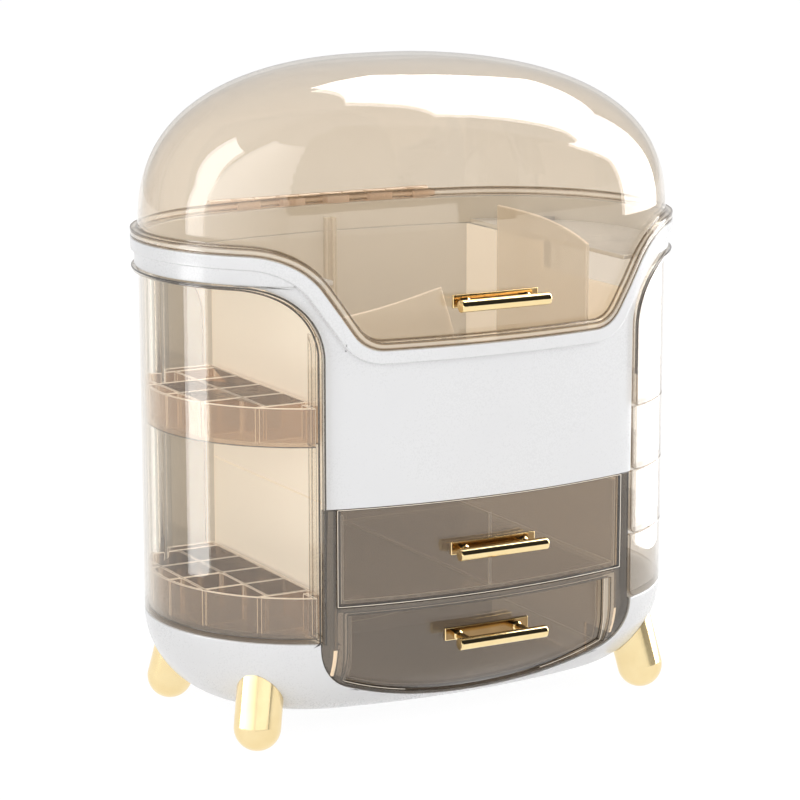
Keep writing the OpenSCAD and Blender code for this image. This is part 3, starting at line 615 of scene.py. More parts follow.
def row_recipe() -> Recipe:
    """Return a tree that repeats the start mesh along a line."""
    recipe = Recipe("row")
    count = recipe.named("Count", "NodeSocketInt")
    step = recipe.named("Step", "NodeSocketVector")
    line = recipe.node("GeometryNodeMeshLine", {"mode": "OFFSET"}, {"Count": count, "Offset": step})
    placed = recipe.node("GeometryNodeInstanceOnPoints", {}, {
        "Points": line, "Instance": recipe.start.outputs["Geometry"]})
    recipe.close(placed)
    return recipe


# ---- Making and placing pieces --------------------------------------------------------


@dataclass(frozen=True)
class SideWall:
    """Walls beyond a distance from the middle, with a finish of their own, in millimetres.

    Attributes:
        finish: Their finish.
        beyond: Distance from the middle where they start.
        post_y: In front of this place they are posts, which wear the edge finish.
        front_share: Faces that look to the front by more than this keep their finish.
    """

    finish: Finish
    beyond: float
    post_y: float
    front_share: float = 0.5

    def paint(self, mesh: bpy.types.Mesh, edge_slot: int, wall_slot: int) -> None:
        """Give the walls and posts in a mesh their material slots.

        Args:
            mesh: The mesh.
            edge_slot: Slot of the edge finish.
            wall_slot: Slot of the walls' own finish.
        """
        for face in mesh.polygons:
            if abs(face.center.x) > self.beyond * MM and face.normal.y > -self.front_share:
                in_post = face.center.y < self.post_y * MM
                face.material_index = edge_slot if in_post else wall_slot


def reaching(level: float) -> Callable[[bmesh.types.BMEdge], bool]:
    """Return a test for edges that reach above a level.

    Args:
        level: The level in millimetres.

    Returns:
        The test.
    """
    return lambda edge: max(vert.co.z for vert in edge.verts) > level * MM


def below(level: float) -> Callable[[bmesh.types.BMEdge], bool]:
    """Return a test for edges that stay below a level.

    Args:
        level: The level in millimetres.

    Returns:
        The test.
    """
    return lambda edge: max(vert.co.z for vert in edge.verts) < level * MM


def framing(side: float, turned: float = 0.6) -> Callable[[bmesh.types.BMEdge], bool]:
    """Return a test for the edges round faces that look to one side.

    Args:
        side: -1 for the front, 1 for the back.
        turned: How much the faces look that way at least.

    Returns:
        The test.
    """
    return lambda edge: sum(face.normal.y * side > turned for face in edge.link_faces) == 1


@dataclass
class Workshop:
    """Turns meshes into pieces that ride on a body and stand for a CAD node."""

    paints: Paintbox
    body_of: dict[str, str] = field(default_factory=dict)
    slot_of: dict[str, str] = field(default_factory=dict)
    bead: Recipe = field(default_factory=bead_recipe)
    row: Recipe = field(default_factory=row_recipe)

    def __post_init__(self) -> None:
        """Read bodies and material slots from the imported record."""
        record = frame["record"]
        for body, nodes in record["behaviour"]["bodies"].items():
            for node in nodes:
                self.body_of[node] = body
        for part in record["subparts"]:
            self.slot_of[part["node"]] = part["material_slot"]

    def piece(self, name: str, mesh: bpy.types.Mesh, node: str, finishes: list[Finish],
              stands_for: bool = True) -> bpy.types.Object:
        """Make an object of a mesh and tie it to a node's body.

        Args:
            name: Name of the piece.
            mesh: Its mesh, in place.
            node: CAD node that it belongs to.
            finishes: Finish of each material slot.
            stands_for: True if the CAD node is no longer shown.

        Returns:
            The piece.
        """
        thing = linked(name, mesh)
        if not mesh.materials:
            for finish in finishes:
                mesh.materials.append(self.paints.get(finish))
        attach(thing, self.body_of[node])
        if stands_for:
            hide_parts(node)
        LOG.info("%s: %d faces on %s", name, len(mesh.polygons), self.body_of[node])
        return thing

    def dress(self, node: str, finish: Finish) -> None:
        """Give a CAD node that stays as it is its finish.

        Args:
            node: The node.
            finish: Its finish.
        """
        thing = frame["nodes"][node]
        thing.data.materials.clear()
        thing.data.materials.append(self.paints.get(finish))
        LOG.info("%s: dressed as %s", node, finish.name)

    def beaded(self, name: str, node: str, paths: list[list[Point]], radius: float,
               finish: Finish) -> bpy.types.Object:
        """Run thin beads along paths.

        Args:
            name: Name of the piece.
            node: CAD node that they belong to.
            paths: Points of each path in millimetres.
            radius: Radius of the beads in millimetres.
            finish: Their finish.

        Returns:
            The piece.
        """
        points, edges = [], []
        for path in paths:
            edges += [(len(points) + k, len(points) + k + 1) for k in range(len(path) - 1)]
            points += [tuple(Vector(p) * MM) for p in path]
        mesh = bpy.data.meshes.new(name + "_path")
        mesh.from_pydata(points, edges, [])
        made = self.bead.apply(name + "_mesh", mesh, {
            "Radius": radius * MM, "Material": self.paints.get(finish)})
        return self.piece(name, made, node, [finish], False)

    def lined(self, name: str, node: str, radius: float, finish: Finish,
              keep: Callable[[bmesh.types.BMEdge], bool]) -> None:
        """Run thin beads along some of a CAD node's sharp edges.

        Args:
            name: Name of the piece.
            node: The CAD node.
            radius: Radius of the beads in millimetres.
            finish: Their finish.
            keep: Returns True for the edges that get a bead.
        """
        work = bmesh.new()
        work.from_mesh(frame["nodes"][node].data)
        bmesh.ops.remove_doubles(work, verts=work.verts, dist=WELD)
        paths = [
            [tuple(vert.co / MM) for vert in edge.verts] for edge in work.edges
            if edge.calc_face_angle(0.0) > LINED_ANGLE and keep(edge)
        ]
        work.free()
        self.beaded(name, node, paths, radius, finish)

    def rowed(self, name: str, node: str, unit: bmesh.types.BMesh, count: int, step: Point,
              finish: Finish) -> bpy.types.Object:
        """Repeat a unit along a line as the stand-in of a node.

        Args:
            name: Name of the piece.
            node: CAD node that it stands for.
            unit: The first copy, in place.
            count: Number of copies.
            step: Way from one copy to the next in millimetres.
            finish: Their finish.

        Returns:
            The piece.
        """
        mesh = bpy.data.meshes.new(name + "_unit")
        unit.to_mesh(mesh)
        unit.free()
        made = self.row.apply(name + "_mesh", mesh, {
            "Count": count, "Step": Vector(step) * MM, "Material": self.paints.get(finish)})
        made.set_sharp_from_angle(angle=SHARP_ANGLE)
        return self.piece(name, made, node, [finish])

    def eased(self, node: str, width: float, finish: Finish, edge: Finish | None = None,
              thin: float = 2.4, side_wall: SideWall | None = None,
              inside: Finish | None = None, shape: bmesh.types.BMesh | None = None) -> bpy.types.Object:
        """Copy a CAD node with its sharp edges rounded.

        Args:
            node: The CAD node.
            width: Width of the rounding in millimetres.
            finish: Finish of its faces.
            edge: Finish of its edges and of the narrow end faces of its walls.
            thin: Faces narrower than this, in millimetres, are end faces.
            side_wall: Its side walls, where they have a finish of their own.
            inside: Finish of the faces that look towards the middle.
            shape: Shape to use in place of the node's own. Its flat faces are whole already.

        Returns:
            The piece that stands for the node.
        """
        work = shape or self._whole_faces(node)
        finishes = [finish]
        if edge is not None:
            finishes.append(edge)
            for face in work.faces:
                if self._is_end_face(face, thin * MM):
                    face.material_index = 1
        if side_wall is not None:
            finishes.append(side_wall.finish)
        if inside is not None:
            finishes.append(inside)
            for face in work.faces:
                if self._looks_inward(face):
                    face.material_index = len(finishes) - 1
        result = self._rounded(node, work, width, finishes, 1 if edge is not None else -1)
        if side_wall is not None:
            side_wall.paint(result, 1, finishes.index(side_wall.finish))
        return self.piece(node + "_piece", result, node, finishes)

    @staticmethod
    def _whole_faces(node: str) -> bmesh.types.BMesh:
        """Return a CAD node's mesh with the triangles of each flat face joined.

        Args:
            node: The node.

        Returns:
            A new mesh.
        """
        work = bmesh.new()
        work.from_mesh(frame["nodes"][node].data)
        bmesh.ops.remove_doubles(work, verts=work.verts, dist=WELD)
        bmesh.ops.dissolve_limit(work, angle_limit=FLAT_ANGLE, use_dissolve_boundaries=False,
                                 verts=work.verts, edges=work.edges)
        return work

    def _rounded(self, node: str, work: bmesh.types.BMesh, width: float, finishes: list[Finish],
                 edge_slot: int) -> bpy.types.Mesh:
        """Round the sharp edges of a shape.

        Args:
            node: The CAD node that it is for.
            work: The shape, which is freed.
            width: Width of the rounding in millimetres.
            finishes: Finish of each material slot.
            edge_slot: Material slot of the rounding, -1 for that of the faces beside it.

        Returns:
            The new mesh.
        """
        mesh = bpy.data.meshes.new(node + "_eased")
        work.to_mesh(mesh)
        work.free()
        mesh.polygons.foreach_set("use_smooth", [True] * len(mesh.polygons))
        for used in finishes:
            mesh.materials.append(self.paints.get(used))
        raw = linked(node + "_raw", mesh)
        bevel = raw.modifiers.new("edges", "BEVEL")
        bevel.width = width * MM
        bevel.segments = ROUNDING_STEPS
        bevel.limit_method = "ANGLE"
        bevel.angle_limit = ROUNDED_ANGLE
        bevel.use_clamp_overlap = False
        bevel.material = edge_slot
        bevel.miter_outer = "MITER_ARC"
        normals = raw.modifiers.new("normals", "WEIGHTED_NORMAL")
        normals.keep_sharp = False
        graph = bpy.context.evaluated_depsgraph_get()
        result = bpy.data.meshes.new_from_object(raw.evaluated_get(graph), depsgraph=graph)
        result.name = node + "_mesh"
        bpy.data.objects.remove(raw)
        bpy.data.meshes.remove(mesh)
        return result

    @staticmethod
    def _looks_inward(face: bmesh.types.BMFace, share: float = 0.5) -> bool:
        """Return True for a face that looks towards the middle.

        Args:
            face: The face.
            share: How much it looks that way at least.

        Returns:
            True if it does.
        """
        middle = face.calc_center_median()
        return face.normal.x * middle.x + face.normal.y * middle.y < -share * middle.xy.length

    @staticmethod
    def _is_end_face(face: bmesh.types.BMFace, thin: float, share: float = 0.5) -> bool:
        """Return True for the narrow end face of a wall.

        Args:
            face: The face.
            thin: Its greatest width in metres.
            share: How much of its outline is sharp at least.

        Returns:
            True if it is narrow and sharp-edged.
        """
        around = sum(e.calc_length() for e in face.edges)
        if around <= 0 or 2 * face.calc_area() / around > thin / 2:
            return False
        sharp = sum(
            e.calc_length() for e in face.edges
            if len(e.link_faces) == 2 and e.calc_face_angle(0.0) > END_FACE_ANGLE
        )
        return sharp > share * around


def placed(x: float, y: float, z: float) -> Matrix:
    """Return the move to a place.

    Args:
        x: Place along the width in millimetres.
        y: Place along the depth.
        z: Height.

    Returns:
        The move in metres.
    """
    return Matrix.Translation(Vector((x, y, z)) * MM)


def rod_profile(start: float, end: float, radius: float, ease: float,
                level: float = 0.0) -> list[tuple[float, float]]:
    """Return the profile of a rod with rounded ends, for lathe.

    Args:
        start: Height of its first end in millimetres.
        end: Height of its other end.
        radius: Its radius.
        ease: Radius of the rounding.
        level: Distance of two more rings from the ends, which keep the shading level.

    Returns:
        (height, radius) pairs.
    """
    corner = CORNER * ease
    inner = [(start + level, radius), (end - level, radius)] if level else []
    return [(start, radius - ease), (start + corner, radius - corner), (start + ease, radius), *inner,
            (end - ease, radius), (end - corner, radius - corner), (end, radius - ease)]


def band(work: bmesh.types.BMesh, low: list[bmesh.types.BMVert],
         high: list[bmesh.types.BMVert]) -> list[bmesh.types.BMFace]:
    """Join two closed rings by a band of quads.

    Args:
        work: The mesh that holds them.
        low: Corners of the first ring.
        high: Corners of the second ring.

    Returns:
        The new faces.
    """
    following = [*range(1, len(low)), 0]
    return [work.faces.new((low[k], low[m], high[m], high[k])) for k, m in enumerate(following)]


def lathe(profile: list[tuple[float, float]], to_place: Matrix, steps: int = 40) -> bmesh.types.BMesh:
    """Turn a profile about the local z axis and close it at both ends.

    Args:
        profile: (height, radius) pairs in millimetres, from one end to the other.
        to_place: Puts the turned shape, in metres, in its place.
        steps: Number of steps round the axis.

    Returns:
        A new closed mesh.
    """
    work = bmesh.new()
    rings = []
    for height, radius in profile:
        rings.append([
            work.verts.new((radius * MM * math.cos(math.tau * k / steps),
                            radius * MM * math.sin(math.tau * k / steps), height * MM))
            for k in range(steps)
        ])
    for low, high in zip(rings, rings[1:]):
        band(work, low, high)
    work.faces.new(list(reversed(rings[0])))
    work.faces.new(rings[-1])
    bmesh.ops.transform(work, matrix=to_place, verts=work.verts)
    bmesh.ops.recalc_face_normals(work, faces=work.faces)
    return work


def plate(outline: list[tuple[float, float]], to_place: Matrix, thick: float) -> bmesh.types.BMesh:
    """Raise an outline to a plate.

    Args:
        outline: Corners in millimetres.
        to_place: Puts the plate, in metres, in its place.
        thick: Thickness in millimetres.

    Returns:
        A new closed mesh.
    """
    work = bmesh.new()
    face = work.faces.new([work.verts.new((x * MM, y * MM, 0.0)) for x, y in outline])
    raised = bmesh.ops.extrude_face_region(work, geom=[face])["geom"]
    bmesh.ops.translate(work, vec=(0, 0, thick * MM),
                        verts=[v for v in raised if isinstance(v, bmesh.types.BMVert)])
    bmesh.ops.transform(work, matrix=to_place, verts=work.verts)
    bmesh.ops.recalc_face_normals(work, faces=work.faces)
    return work


def join_into(target: bmesh.types.BMesh, part: bmesh.types.BMesh) -> None:
    """Add one mesh to another.

    Args:
        target: The mesh that grows.
        part: The mesh that is added, which is freed.
    """
    holder = bpy.data.meshes.new("holder")
    part.to_mesh(holder)
    part.free()
    target.from_mesh(holder)
    bpy.data.meshes.remove(holder)


def smooth_mesh(work: bmesh.types.BMesh, name: str, sharp: float = SHARP_ANGLE) -> bpy.types.Mesh:
    """Write a smooth-shaded mesh.

    Args:
        work: The source, which is freed.
        name: Name of the mesh.
        sharp: Edges over this angle, in radians, stay sharp.

    Returns:
        The mesh.
    """
    mesh = bpy.data.meshes.new(name)
    work.to_mesh(mesh)
    work.free()
    mesh.polygons.foreach_set("use_smooth", [True] * len(mesh.polygons))
    mesh.set_sharp_from_angle(angle=sharp)
    return mesh


# ---- The cabinet's plan and the lid's seam --------------------------------------------


@dataclass(frozen=True)
class OvalPlan:
    """Plan of the cabinet: two end arcs joined by two long arcs, in millimetres."""

    body_w: float = 300.0
    end_r: float = 87.0
    side_r: float = 374.0

    @property
    def end_x(self) -> float:
        """Centre of an end arc."""
        return self.body_w / 2 - self.end_r

    @property
    def side_y(self) -> float:
        """Distance of a long arc's centre behind the middle."""
        return math.sqrt((self.side_r - self.end_r) ** 2 - self.end_x ** 2)

    @property
    def turn(self) -> float:
        """Half angle of a long arc."""
        return math.asin(self.end_x / (self.side_r - self.end_r))

    def at(self, bearing: float, off: float) -> tuple[float, float]:
        """Return the point whose outward normal has this bearing.

        Args:
            bearing: Angle from +X in radians.
            off: Distance outside the plan.

        Returns:
            x and y.
        """
        c, s = math.cos(bearing), math.sin(bearing)
        if abs(c) > math.sin(self.turn):
            return math.copysign(self.end_x, c) + (self.end_r + off) * c, (self.end_r + off) * s
        return (self.side_r + off) * c, (self.side_r + off) * s - math.copysign(self.side_y, s)

    def reach(self, x: float, off: float) -> float:
        """Return how far the plan reaches to the front.

        Args:
            x: Distance from the middle.
            off: Distance outside the plan.

        Returns:
            The reach in millimetres.
        """
        if abs(x) < (self.side_r + off) * self.end_x / (self.side_r - self.end_r):
            return math.sqrt((self.side_r + off) ** 2 - x * x) - self.side_y
        return math.sqrt(max(0.0, (self.end_r + off) ** 2 - (abs(x) - self.end_x) ** 2))

    def bearings(self, end_steps: int, side_steps: int) -> list[float]:
        """Return bearings all round.

        Args:
            end_steps: Number of steps on each end.
            side_steps: Number of steps on each long side.

        Returns:
            Angles from +X in radians.
        """
        out = []
        for start, span, steps in (
            (-math.pi / 2 + self.turn, math.pi - 2 * self.turn, end_steps),
            (math.pi / 2 - self.turn, 2 * self.turn, side_steps),
            (math.pi / 2 + self.turn, math.pi - 2 * self.turn, end_steps),
            (math.pi * 1.5 - self.turn, 2 * self.turn, side_steps),
        ):
            out += [start + span * k / steps for k in range(steps)]
        return out


@dataclass(frozen=True)
class Seam:
    """Line between shell and lid: level at the ends and back, S-shaped at the front."""

    seam_z: float = 262.0
    front_z: float = 213.0
    shoulder_x: float = 128.0
    shoulder_r: float = 40.0
    valley_r: float = 20.0
    fall: float = math.radians(56.0)

    def height(self, x: float, off: float) -> float:
        """Return the seam's height at the front.

        Args:
            x: Distance from the middle.
            off: How far the line is moved up, square to itself.

        Returns:
            The height in millimetres.
        """
        x = abs(x)
        drop = self.seam_z - self.front_z
        both = self.shoulder_r + self.valley_r
        slope = (drop - both * (1 - math.cos(self.fall))) / math.sin(self.fall)
        valley_x = self.shoulder_x - both * math.sin(self.fall) - slope * math.cos(self.fall)
        if x >= self.shoulder_x:
            return self.seam_z + off
        r_out, r_in = self.shoulder_r + off, self.valley_r - off
        bend_out = self.shoulder_x - r_out * math.sin(self.fall)
        bend_in = valley_x + r_in * math.sin(self.fall)
        if x > bend_out:
            return self.seam_z - self.shoulder_r + math.sqrt(r_out ** 2 - (self.shoulder_x - x) ** 2)
        if x < valley_x:
            return self.front_z + off
        if x < bend_in:
            return self.front_z + self.valley_r - math.sqrt(r_in ** 2 - (x - valley_x) ** 2)
        low = self.front_z + self.valley_r - r_in * math.cos(self.fall)
        return low + (x - bend_in) * math.tan(self.fall)


# ---- Sub-assemblies -------------------------------------------------------------------


@dataclass
class Lid:
    """Clear domed lid with its flange and front visor, in millimetres."""

    shop: Workshop
    plan: OvalPlan = OvalPlan()
    seam: Seam = Seam()
    wall: float = 2.0
    gap: float = 0.15
    flange: float = 4.0
    flange_out: float = 4.0
    flange_ease: float = 1.2
    flange_corner: float = 0.35
    dome_z: float = 266.15
    dome_h: float = 86.0
    power: float = 2.47
    back: float = 22.0
    end_steps: int = 130
    side_steps: int = 56
    visor_rings: int = 12
    dome_rings: int = 40
    clear_of_flange: float = 2.0
    # Slot 2 puts the painted dark line on the flange's rounded corners; slot 1 is its flat faces.
    rim_finish: tuple[int, ...] = (2, 2, 1, 2, 2, 1, 2, 2)
    sharp: float = math.radians(50.0)
    line_r: float = 0.3
    line_inset: float = 0.3
    line_rise: float = 0.5
    hinge_len: float = 140.0
    knuckles: int = 10
    knuckle_r: float = 3.2
    knuckle_ease: float = 0.4
    knuckle_gap: float = 0.3
    hinge_y: float = 101.5
    hinge_lift: float = 2.0

    def seam_at(self, x: float, y: float, off: float) -> float:
        """Return the seam's height over a point of the plan.

        Args:
            x: Distance from the middle.
            y: Distance behind the middle.
            off: How far the line is moved up, square to itself.

        Returns:
            The height in millimetres.
        """
        return self.seam.height(x, off) if y < 0 else self.seam.seam_z + off

    def rim_ring(self, out: float, up: float) -> list[Point]:
        """Return one ring that follows the seam.

        Args:
            out: Distance outside the plan.
            up: Distance above the seam.

        Returns:
            Its points.
        """
        ring = []
        for bearing in self.plan.bearings(self.end_steps, self.side_steps):
            x, y = self.plan.at(bearing, out)
            ring.append((x, y, self.seam_at(x, y, up)))
        return ring

    def dome_ring(self, out: float, high: float, angle: float) -> list[Point]:
        """Return one level ring of the dome.

        Args:
            out: Distance outside the plan at its foot.
            high: Height of the dome's top over its foot.
            angle: 0 at the foot, pi / 2 at the top.

        Returns:
            Its points.
        """
        inward = math.cos(angle) ** (2 / self.power)
        z = self.dome_z + high * math.sin(angle) ** (2 / self.power)
        ring = []
        for bearing in self.plan.bearings(self.end_steps, self.side_steps):
            x, y = self.plan.at(bearing, out)
            ring.append((x * inward, self.back + (y - self.back) * inward, z))
        return ring

    def skin(self, out: float, high: float, rim: list[list[Point]]) -> list[list[Point]]:
        """Return the rings of one skin, from its rim to just under its top.

        Args:
            out: Distance outside the plan.
            high: Height of its top over its foot.
            rim: Rings of its rim.

        Returns:
            The rings.
        """
        start = math.asin((self.clear_of_flange / high) ** (self.power / 2))
        foot = self.dome_ring(out, high, start)
        rings = list(rim)
        for k in range(1, self.visor_rings):
            share = k / self.visor_rings
            rings.append([
                (a[0] + (b[0] - a[0]) * share, a[1] + (b[1] - a[1]) * share, a[2] + (b[2] - a[2]) * share)
                for a, b in zip(rim[-1], foot)
            ])
        for k in range(self.dome_rings):
            rings.append(self.dome_ring(out, high, start + (math.pi / 2 - start) * k / self.dome_rings))
        return rings

    def build_dome(self) -> None:
        """Build the closed dome with rounded flange edges."""
        t, g, o = self.flange, self.gap, self.flange_out
        e, c = self.flange_ease, self.flange_corner
        outer_rim = [self.rim_ring(out, up) for out, up in (
            (o - e, g), (o - c, g + c), (o, g + e),
            (o, g + t - e), (o - c, g + t - c), (o - e, g + t),
            (e, g + t), (c, g + t + c), (0.0, g + t + e),
        )]
        outer = self.skin(0.0, self.dome_h, outer_rim)
        inner = self.skin(-self.wall, self.dome_h - self.wall, [self.rim_ring(-self.wall, g)])
        top_z = self.dome_z + self.dome_h
        work = bmesh.new()
        skins = []
        for rings, peak_z, rim_finish in ((outer, top_z, self.rim_finish), (inner, top_z - self.wall, ())):
            rows = [[work.verts.new(Vector(p) * MM) for p in ring] for ring in rings]
            peak = work.verts.new(Vector((0.0, self.back, peak_z)) * MM)
            skins.append(rows)
            for number, (low, high) in enumerate(zip(rows, rows[1:])):
                for face in band(work, low, high):
                    face.material_index = rim_finish[number] if number < len(rim_finish) else 0
            last = rows[-1]
            for k in range(len(last)):
                work.faces.new((last[k], last[(k + 1) % len(last)], peak))
        band(work, skins[1][0], skins[0][0])
        bmesh.ops.recalc_face_normals(work, faces=work.faces)
        mesh = smooth_mesh(work, "lid_dome_mesh", self.sharp)
        self.shop.piece("lid_dome_smooth", mesh, "lid_dome", [Finish.DOME, Finish.FLANGE, Finish.FLANGE_SHADE_LINE])

    def build_lines(self) -> None:
        """Build the painted dark lines, which stand in for refraction shade, in the flange's corners."""
        top, inset = self.gap + self.flange, self.line_inset
        rings = [self.rim_ring(self.flange_out - inset, self.gap + inset),
                 self.rim_ring(self.flange_out - inset, top - inset),
                 self.rim_ring(inset, top + self.line_rise)]
        paths = [ring + ring[:1] for ring in rings]
        self.shop.beaded("lid_flange_lines", "lid_dome", paths, self.line_r, Finish.FLANGE_SHADE_LINE)

    def build_leaf(self) -> None:
        """Build the row of knuckles that stands on the flange."""
        pitch = self.hinge_len / self.knuckles
        length = pitch - self.knuckle_gap
        x = -self.hinge_len / 2 + pitch + self.knuckle_gap / 2
        foot_z = self.seam.seam_z + self.gap
        unit = lathe(rod_profile(0.0, length, self.knuckle_r, self.knuckle_ease),
                     placed(x, self.hinge_y, foot_z + self.hinge_lift) @ Z_TO_X)
        reach = math.sqrt((self.plan.side_r + self.flange_out) ** 2 - (self.hinge_len / 2) ** 2)
        near = -self.plan.side_y + reach
        outline = [(0, near), (length, near), (length, self.hinge_y), (0, self.hinge_y)]
        join_into(unit, plate(outline, placed(x, 0, foot_z), self.flange))
        self.shop.rowed("lid_hinge_leaf_piece", "lid_hinge_leaf", unit, self.knuckles // 2,
                        (2 * pitch, 0, 0), Finish.TAB)

    def build(self) -> None:
        """Build the lid, its painted dark lines and its hinge leaf."""
        self.build_dome()
        self.build_lines()
        self.build_leaf()


@dataclass
class Handle:
    """Gold bar on two posts with a back plate, in millimetres."""

    shop: Workshop
    name: str
    bar_z: float
    seat_y: float
    bar_y: float = -103.8
    bar_len: float = 53.0
    bar_r: float = 3.25
    bar_steps: int = 64
    post_gap: float = 36.0
    post_r: float = 2.0
    collar_from: float = 1.4
    collar_full: float = 0.9
    collar_out: float = 0.7
    sunk: float = 0.2
    ease: float = 0.5

    def build(self) -> None:
        """Build bar, posts and plate."""
        half, depth = self.bar_len / 2, self.seat_y - self.bar_y
        bar = lathe(rod_profile(-half, half, self.bar_r, self.ease, 2 * self.ease),
                    placed(0, self.bar_y, self.bar_z) @ Z_TO_X, self.bar_steps)
        collar_r = self.post_r + self.collar_out
        profile = [(0.0, self.post_r), (depth - self.collar_from, self.post_r),
                   (depth - self.collar_full, collar_r), (depth + self.sunk, collar_r)]
        for side in (-1, 1):
            join_into(bar, lathe(profile, placed(side * self.post_gap / 2, self.bar_y, self.bar_z) @ Z_TO_Y))
        node = f"{self.name}_bar"
        self.shop.piece(node + "_piece", smooth_mesh(bar, node + "_mesh"), node, [Finish.GOLD])
        self.shop.eased(f"{self.name}_plate", self.ease, Finish.BRONZE, Finish.GOLD)


@dataclass
class Cabinet:
    """White shell, smoke drawer housing and the open compartment."""

    shop: Workshop
    partition: SideWall = SideWall(Finish.CREAM, 84.5, -66.0)
    shell_ease: float = 0.7
    foot_ease: float = 0.3
    smoke_ease: float = 0.4
    clear_ease: float = 0.35
    shelf_end: float = 3.6
    divider_t: float = 2.0
    floor_z: float = 133.3
    tall_x: float = 64.0
    tall_back: float = 12.0
    tall_front: float = -80.0
    tall_z: float = 266.2
    tall_fall: float = 9.5
    tall_power: float = 3.2
    tall_steps: int = 24
    tall_straight: tuple[int, ...] = (2, 7)
    low_y: float = -59.0
    low_left: tuple[float, float] = (-85.0, 224.0)
    low_peak: tuple[float, float] = (-13.0, 236.8)
    low_foot: tuple[float, float] = (-5.0, 211.5)
    low_end: tuple[float, float] = (0.0, 200.0)
    low_sag: float = 1.6
    low_steps: int = 16
    low_straight: tuple[int, ...] = (2, 3)
    line_r: float = 0.5

    def tall_outline(self) -> list[tuple[float, float]]:
        """Return the tall divider's outline: level at the back, falling late to the front."""
        top = []
        for k in range(self.tall_steps + 1):
            share = k / self.tall_steps
            y = self.tall_back + (self.tall_front - self.tall_back) * share
            top.append((y, self.tall_z - self.tall_fall * share ** self.tall_power))
        return [(self.tall_back, self.floor_z)] + top + [(self.tall_front, self.floor_z)]

    def low_outline(self) -> list[tuple[float, float]]:
        """Return the low divider's outline with its hollow, rising top edge."""
        (x0, z0), (x1, z1), steps = self.low_left, self.low_peak, self.low_steps
        top = []
        for k in range(steps + 1):
            share = k / steps
            sag = self.low_sag * math.sin(math.pi * share)
            top.append((x0 + (x1 - x0) * share, z0 + (z1 - z0) * share - sag))
        return [(x0, self.floor_z)] + top + [self.low_foot, self.low_end, (self.low_end[0], self.floor_z)]

    def build(self) -> None:
        """Build every fixed piece."""
        eased = self.shop.eased
        for node in ("base_bowl", "upper_shell", "shoulder_decks", "rear_shell"):
            # Faces that look to the middle take the painted-shade copy of the white.
            eased(node, self.shell_ease, Finish.WHITE, inside=Finish.WHITE_SHADED_INSIDE)
        for node in ("front_left_foot", "front_right_foot", "rear_left_foot", "rear_right_foot"):
            eased(node, self.foot_ease, Finish.GOLD_SATIN)
        eased("drawer_cabinet", self.smoke_ease, Finish.FRAME, Finish.SMOKE_SHADE_EDGE, side_wall=self.partition)
        eased("drawer_shelf", self.smoke_ease, Finish.SMOKE, Finish.SMOKE_SHADE_EDGE, self.shelf_end)
        eased("top_bin", self.clear_ease, Finish.BIN, Finish.HIGHLIGHT_EDGE, side_wall=self.partition)
        self.build_divider("tall_divider", self.tall_outline(), self.tall_straight,
                           placed(self.tall_x, 0, 0) @ FACING_RIGHT, 1)
        self.build_divider("low_divider", self.low_outline(), self.low_straight,
                           placed(0, self.low_y, 0) @ FACING_FRONT, 2)
        eased("hinge_bracket", self.smoke_ease, Finish.TAB, Finish.HIGHLIGHT_EDGE)
        for node in ("foot_screws", "left_pivot_pin", "right_pivot_pin", "hinge_pin"):
            self.shop.dress(node, Finish.STEEL)

    def build_divider(self, node: str, outline: list[tuple[float, float]], straight: tuple[int, ...],
                      to_place: Matrix, tail: int) -> None:
        """Build a divider with a painted highlight line along its top edge.

        Args:
            node: Its CAD node.
            outline: Its outline, from the foot of the first end round to that of the other.
            straight: Points of the outline where the plate is straight enough to need no corner.
            to_place: Puts it, in metres, in its place.
            tail: Number of corners at the end of the outline that get no line.
        """
        corners = [point for k, point in enumerate(outline) if k not in straight]
        self.shop.eased(node, self.clear_ease, Finish.DIVIDER, Finish.HIGHLIGHT_EDGE,
                        shape=plate(corners, to_place, self.divider_t))
        path = [tuple(to_place @ (Vector((x, y, self.divider_t / 2)) * MM) / MM)
                for x, y in outline[1:-tail]]
        self.shop.beaded(f"{node}_line", node, [path], self.line_r, Finish.HIGHLIGHT_LINE)


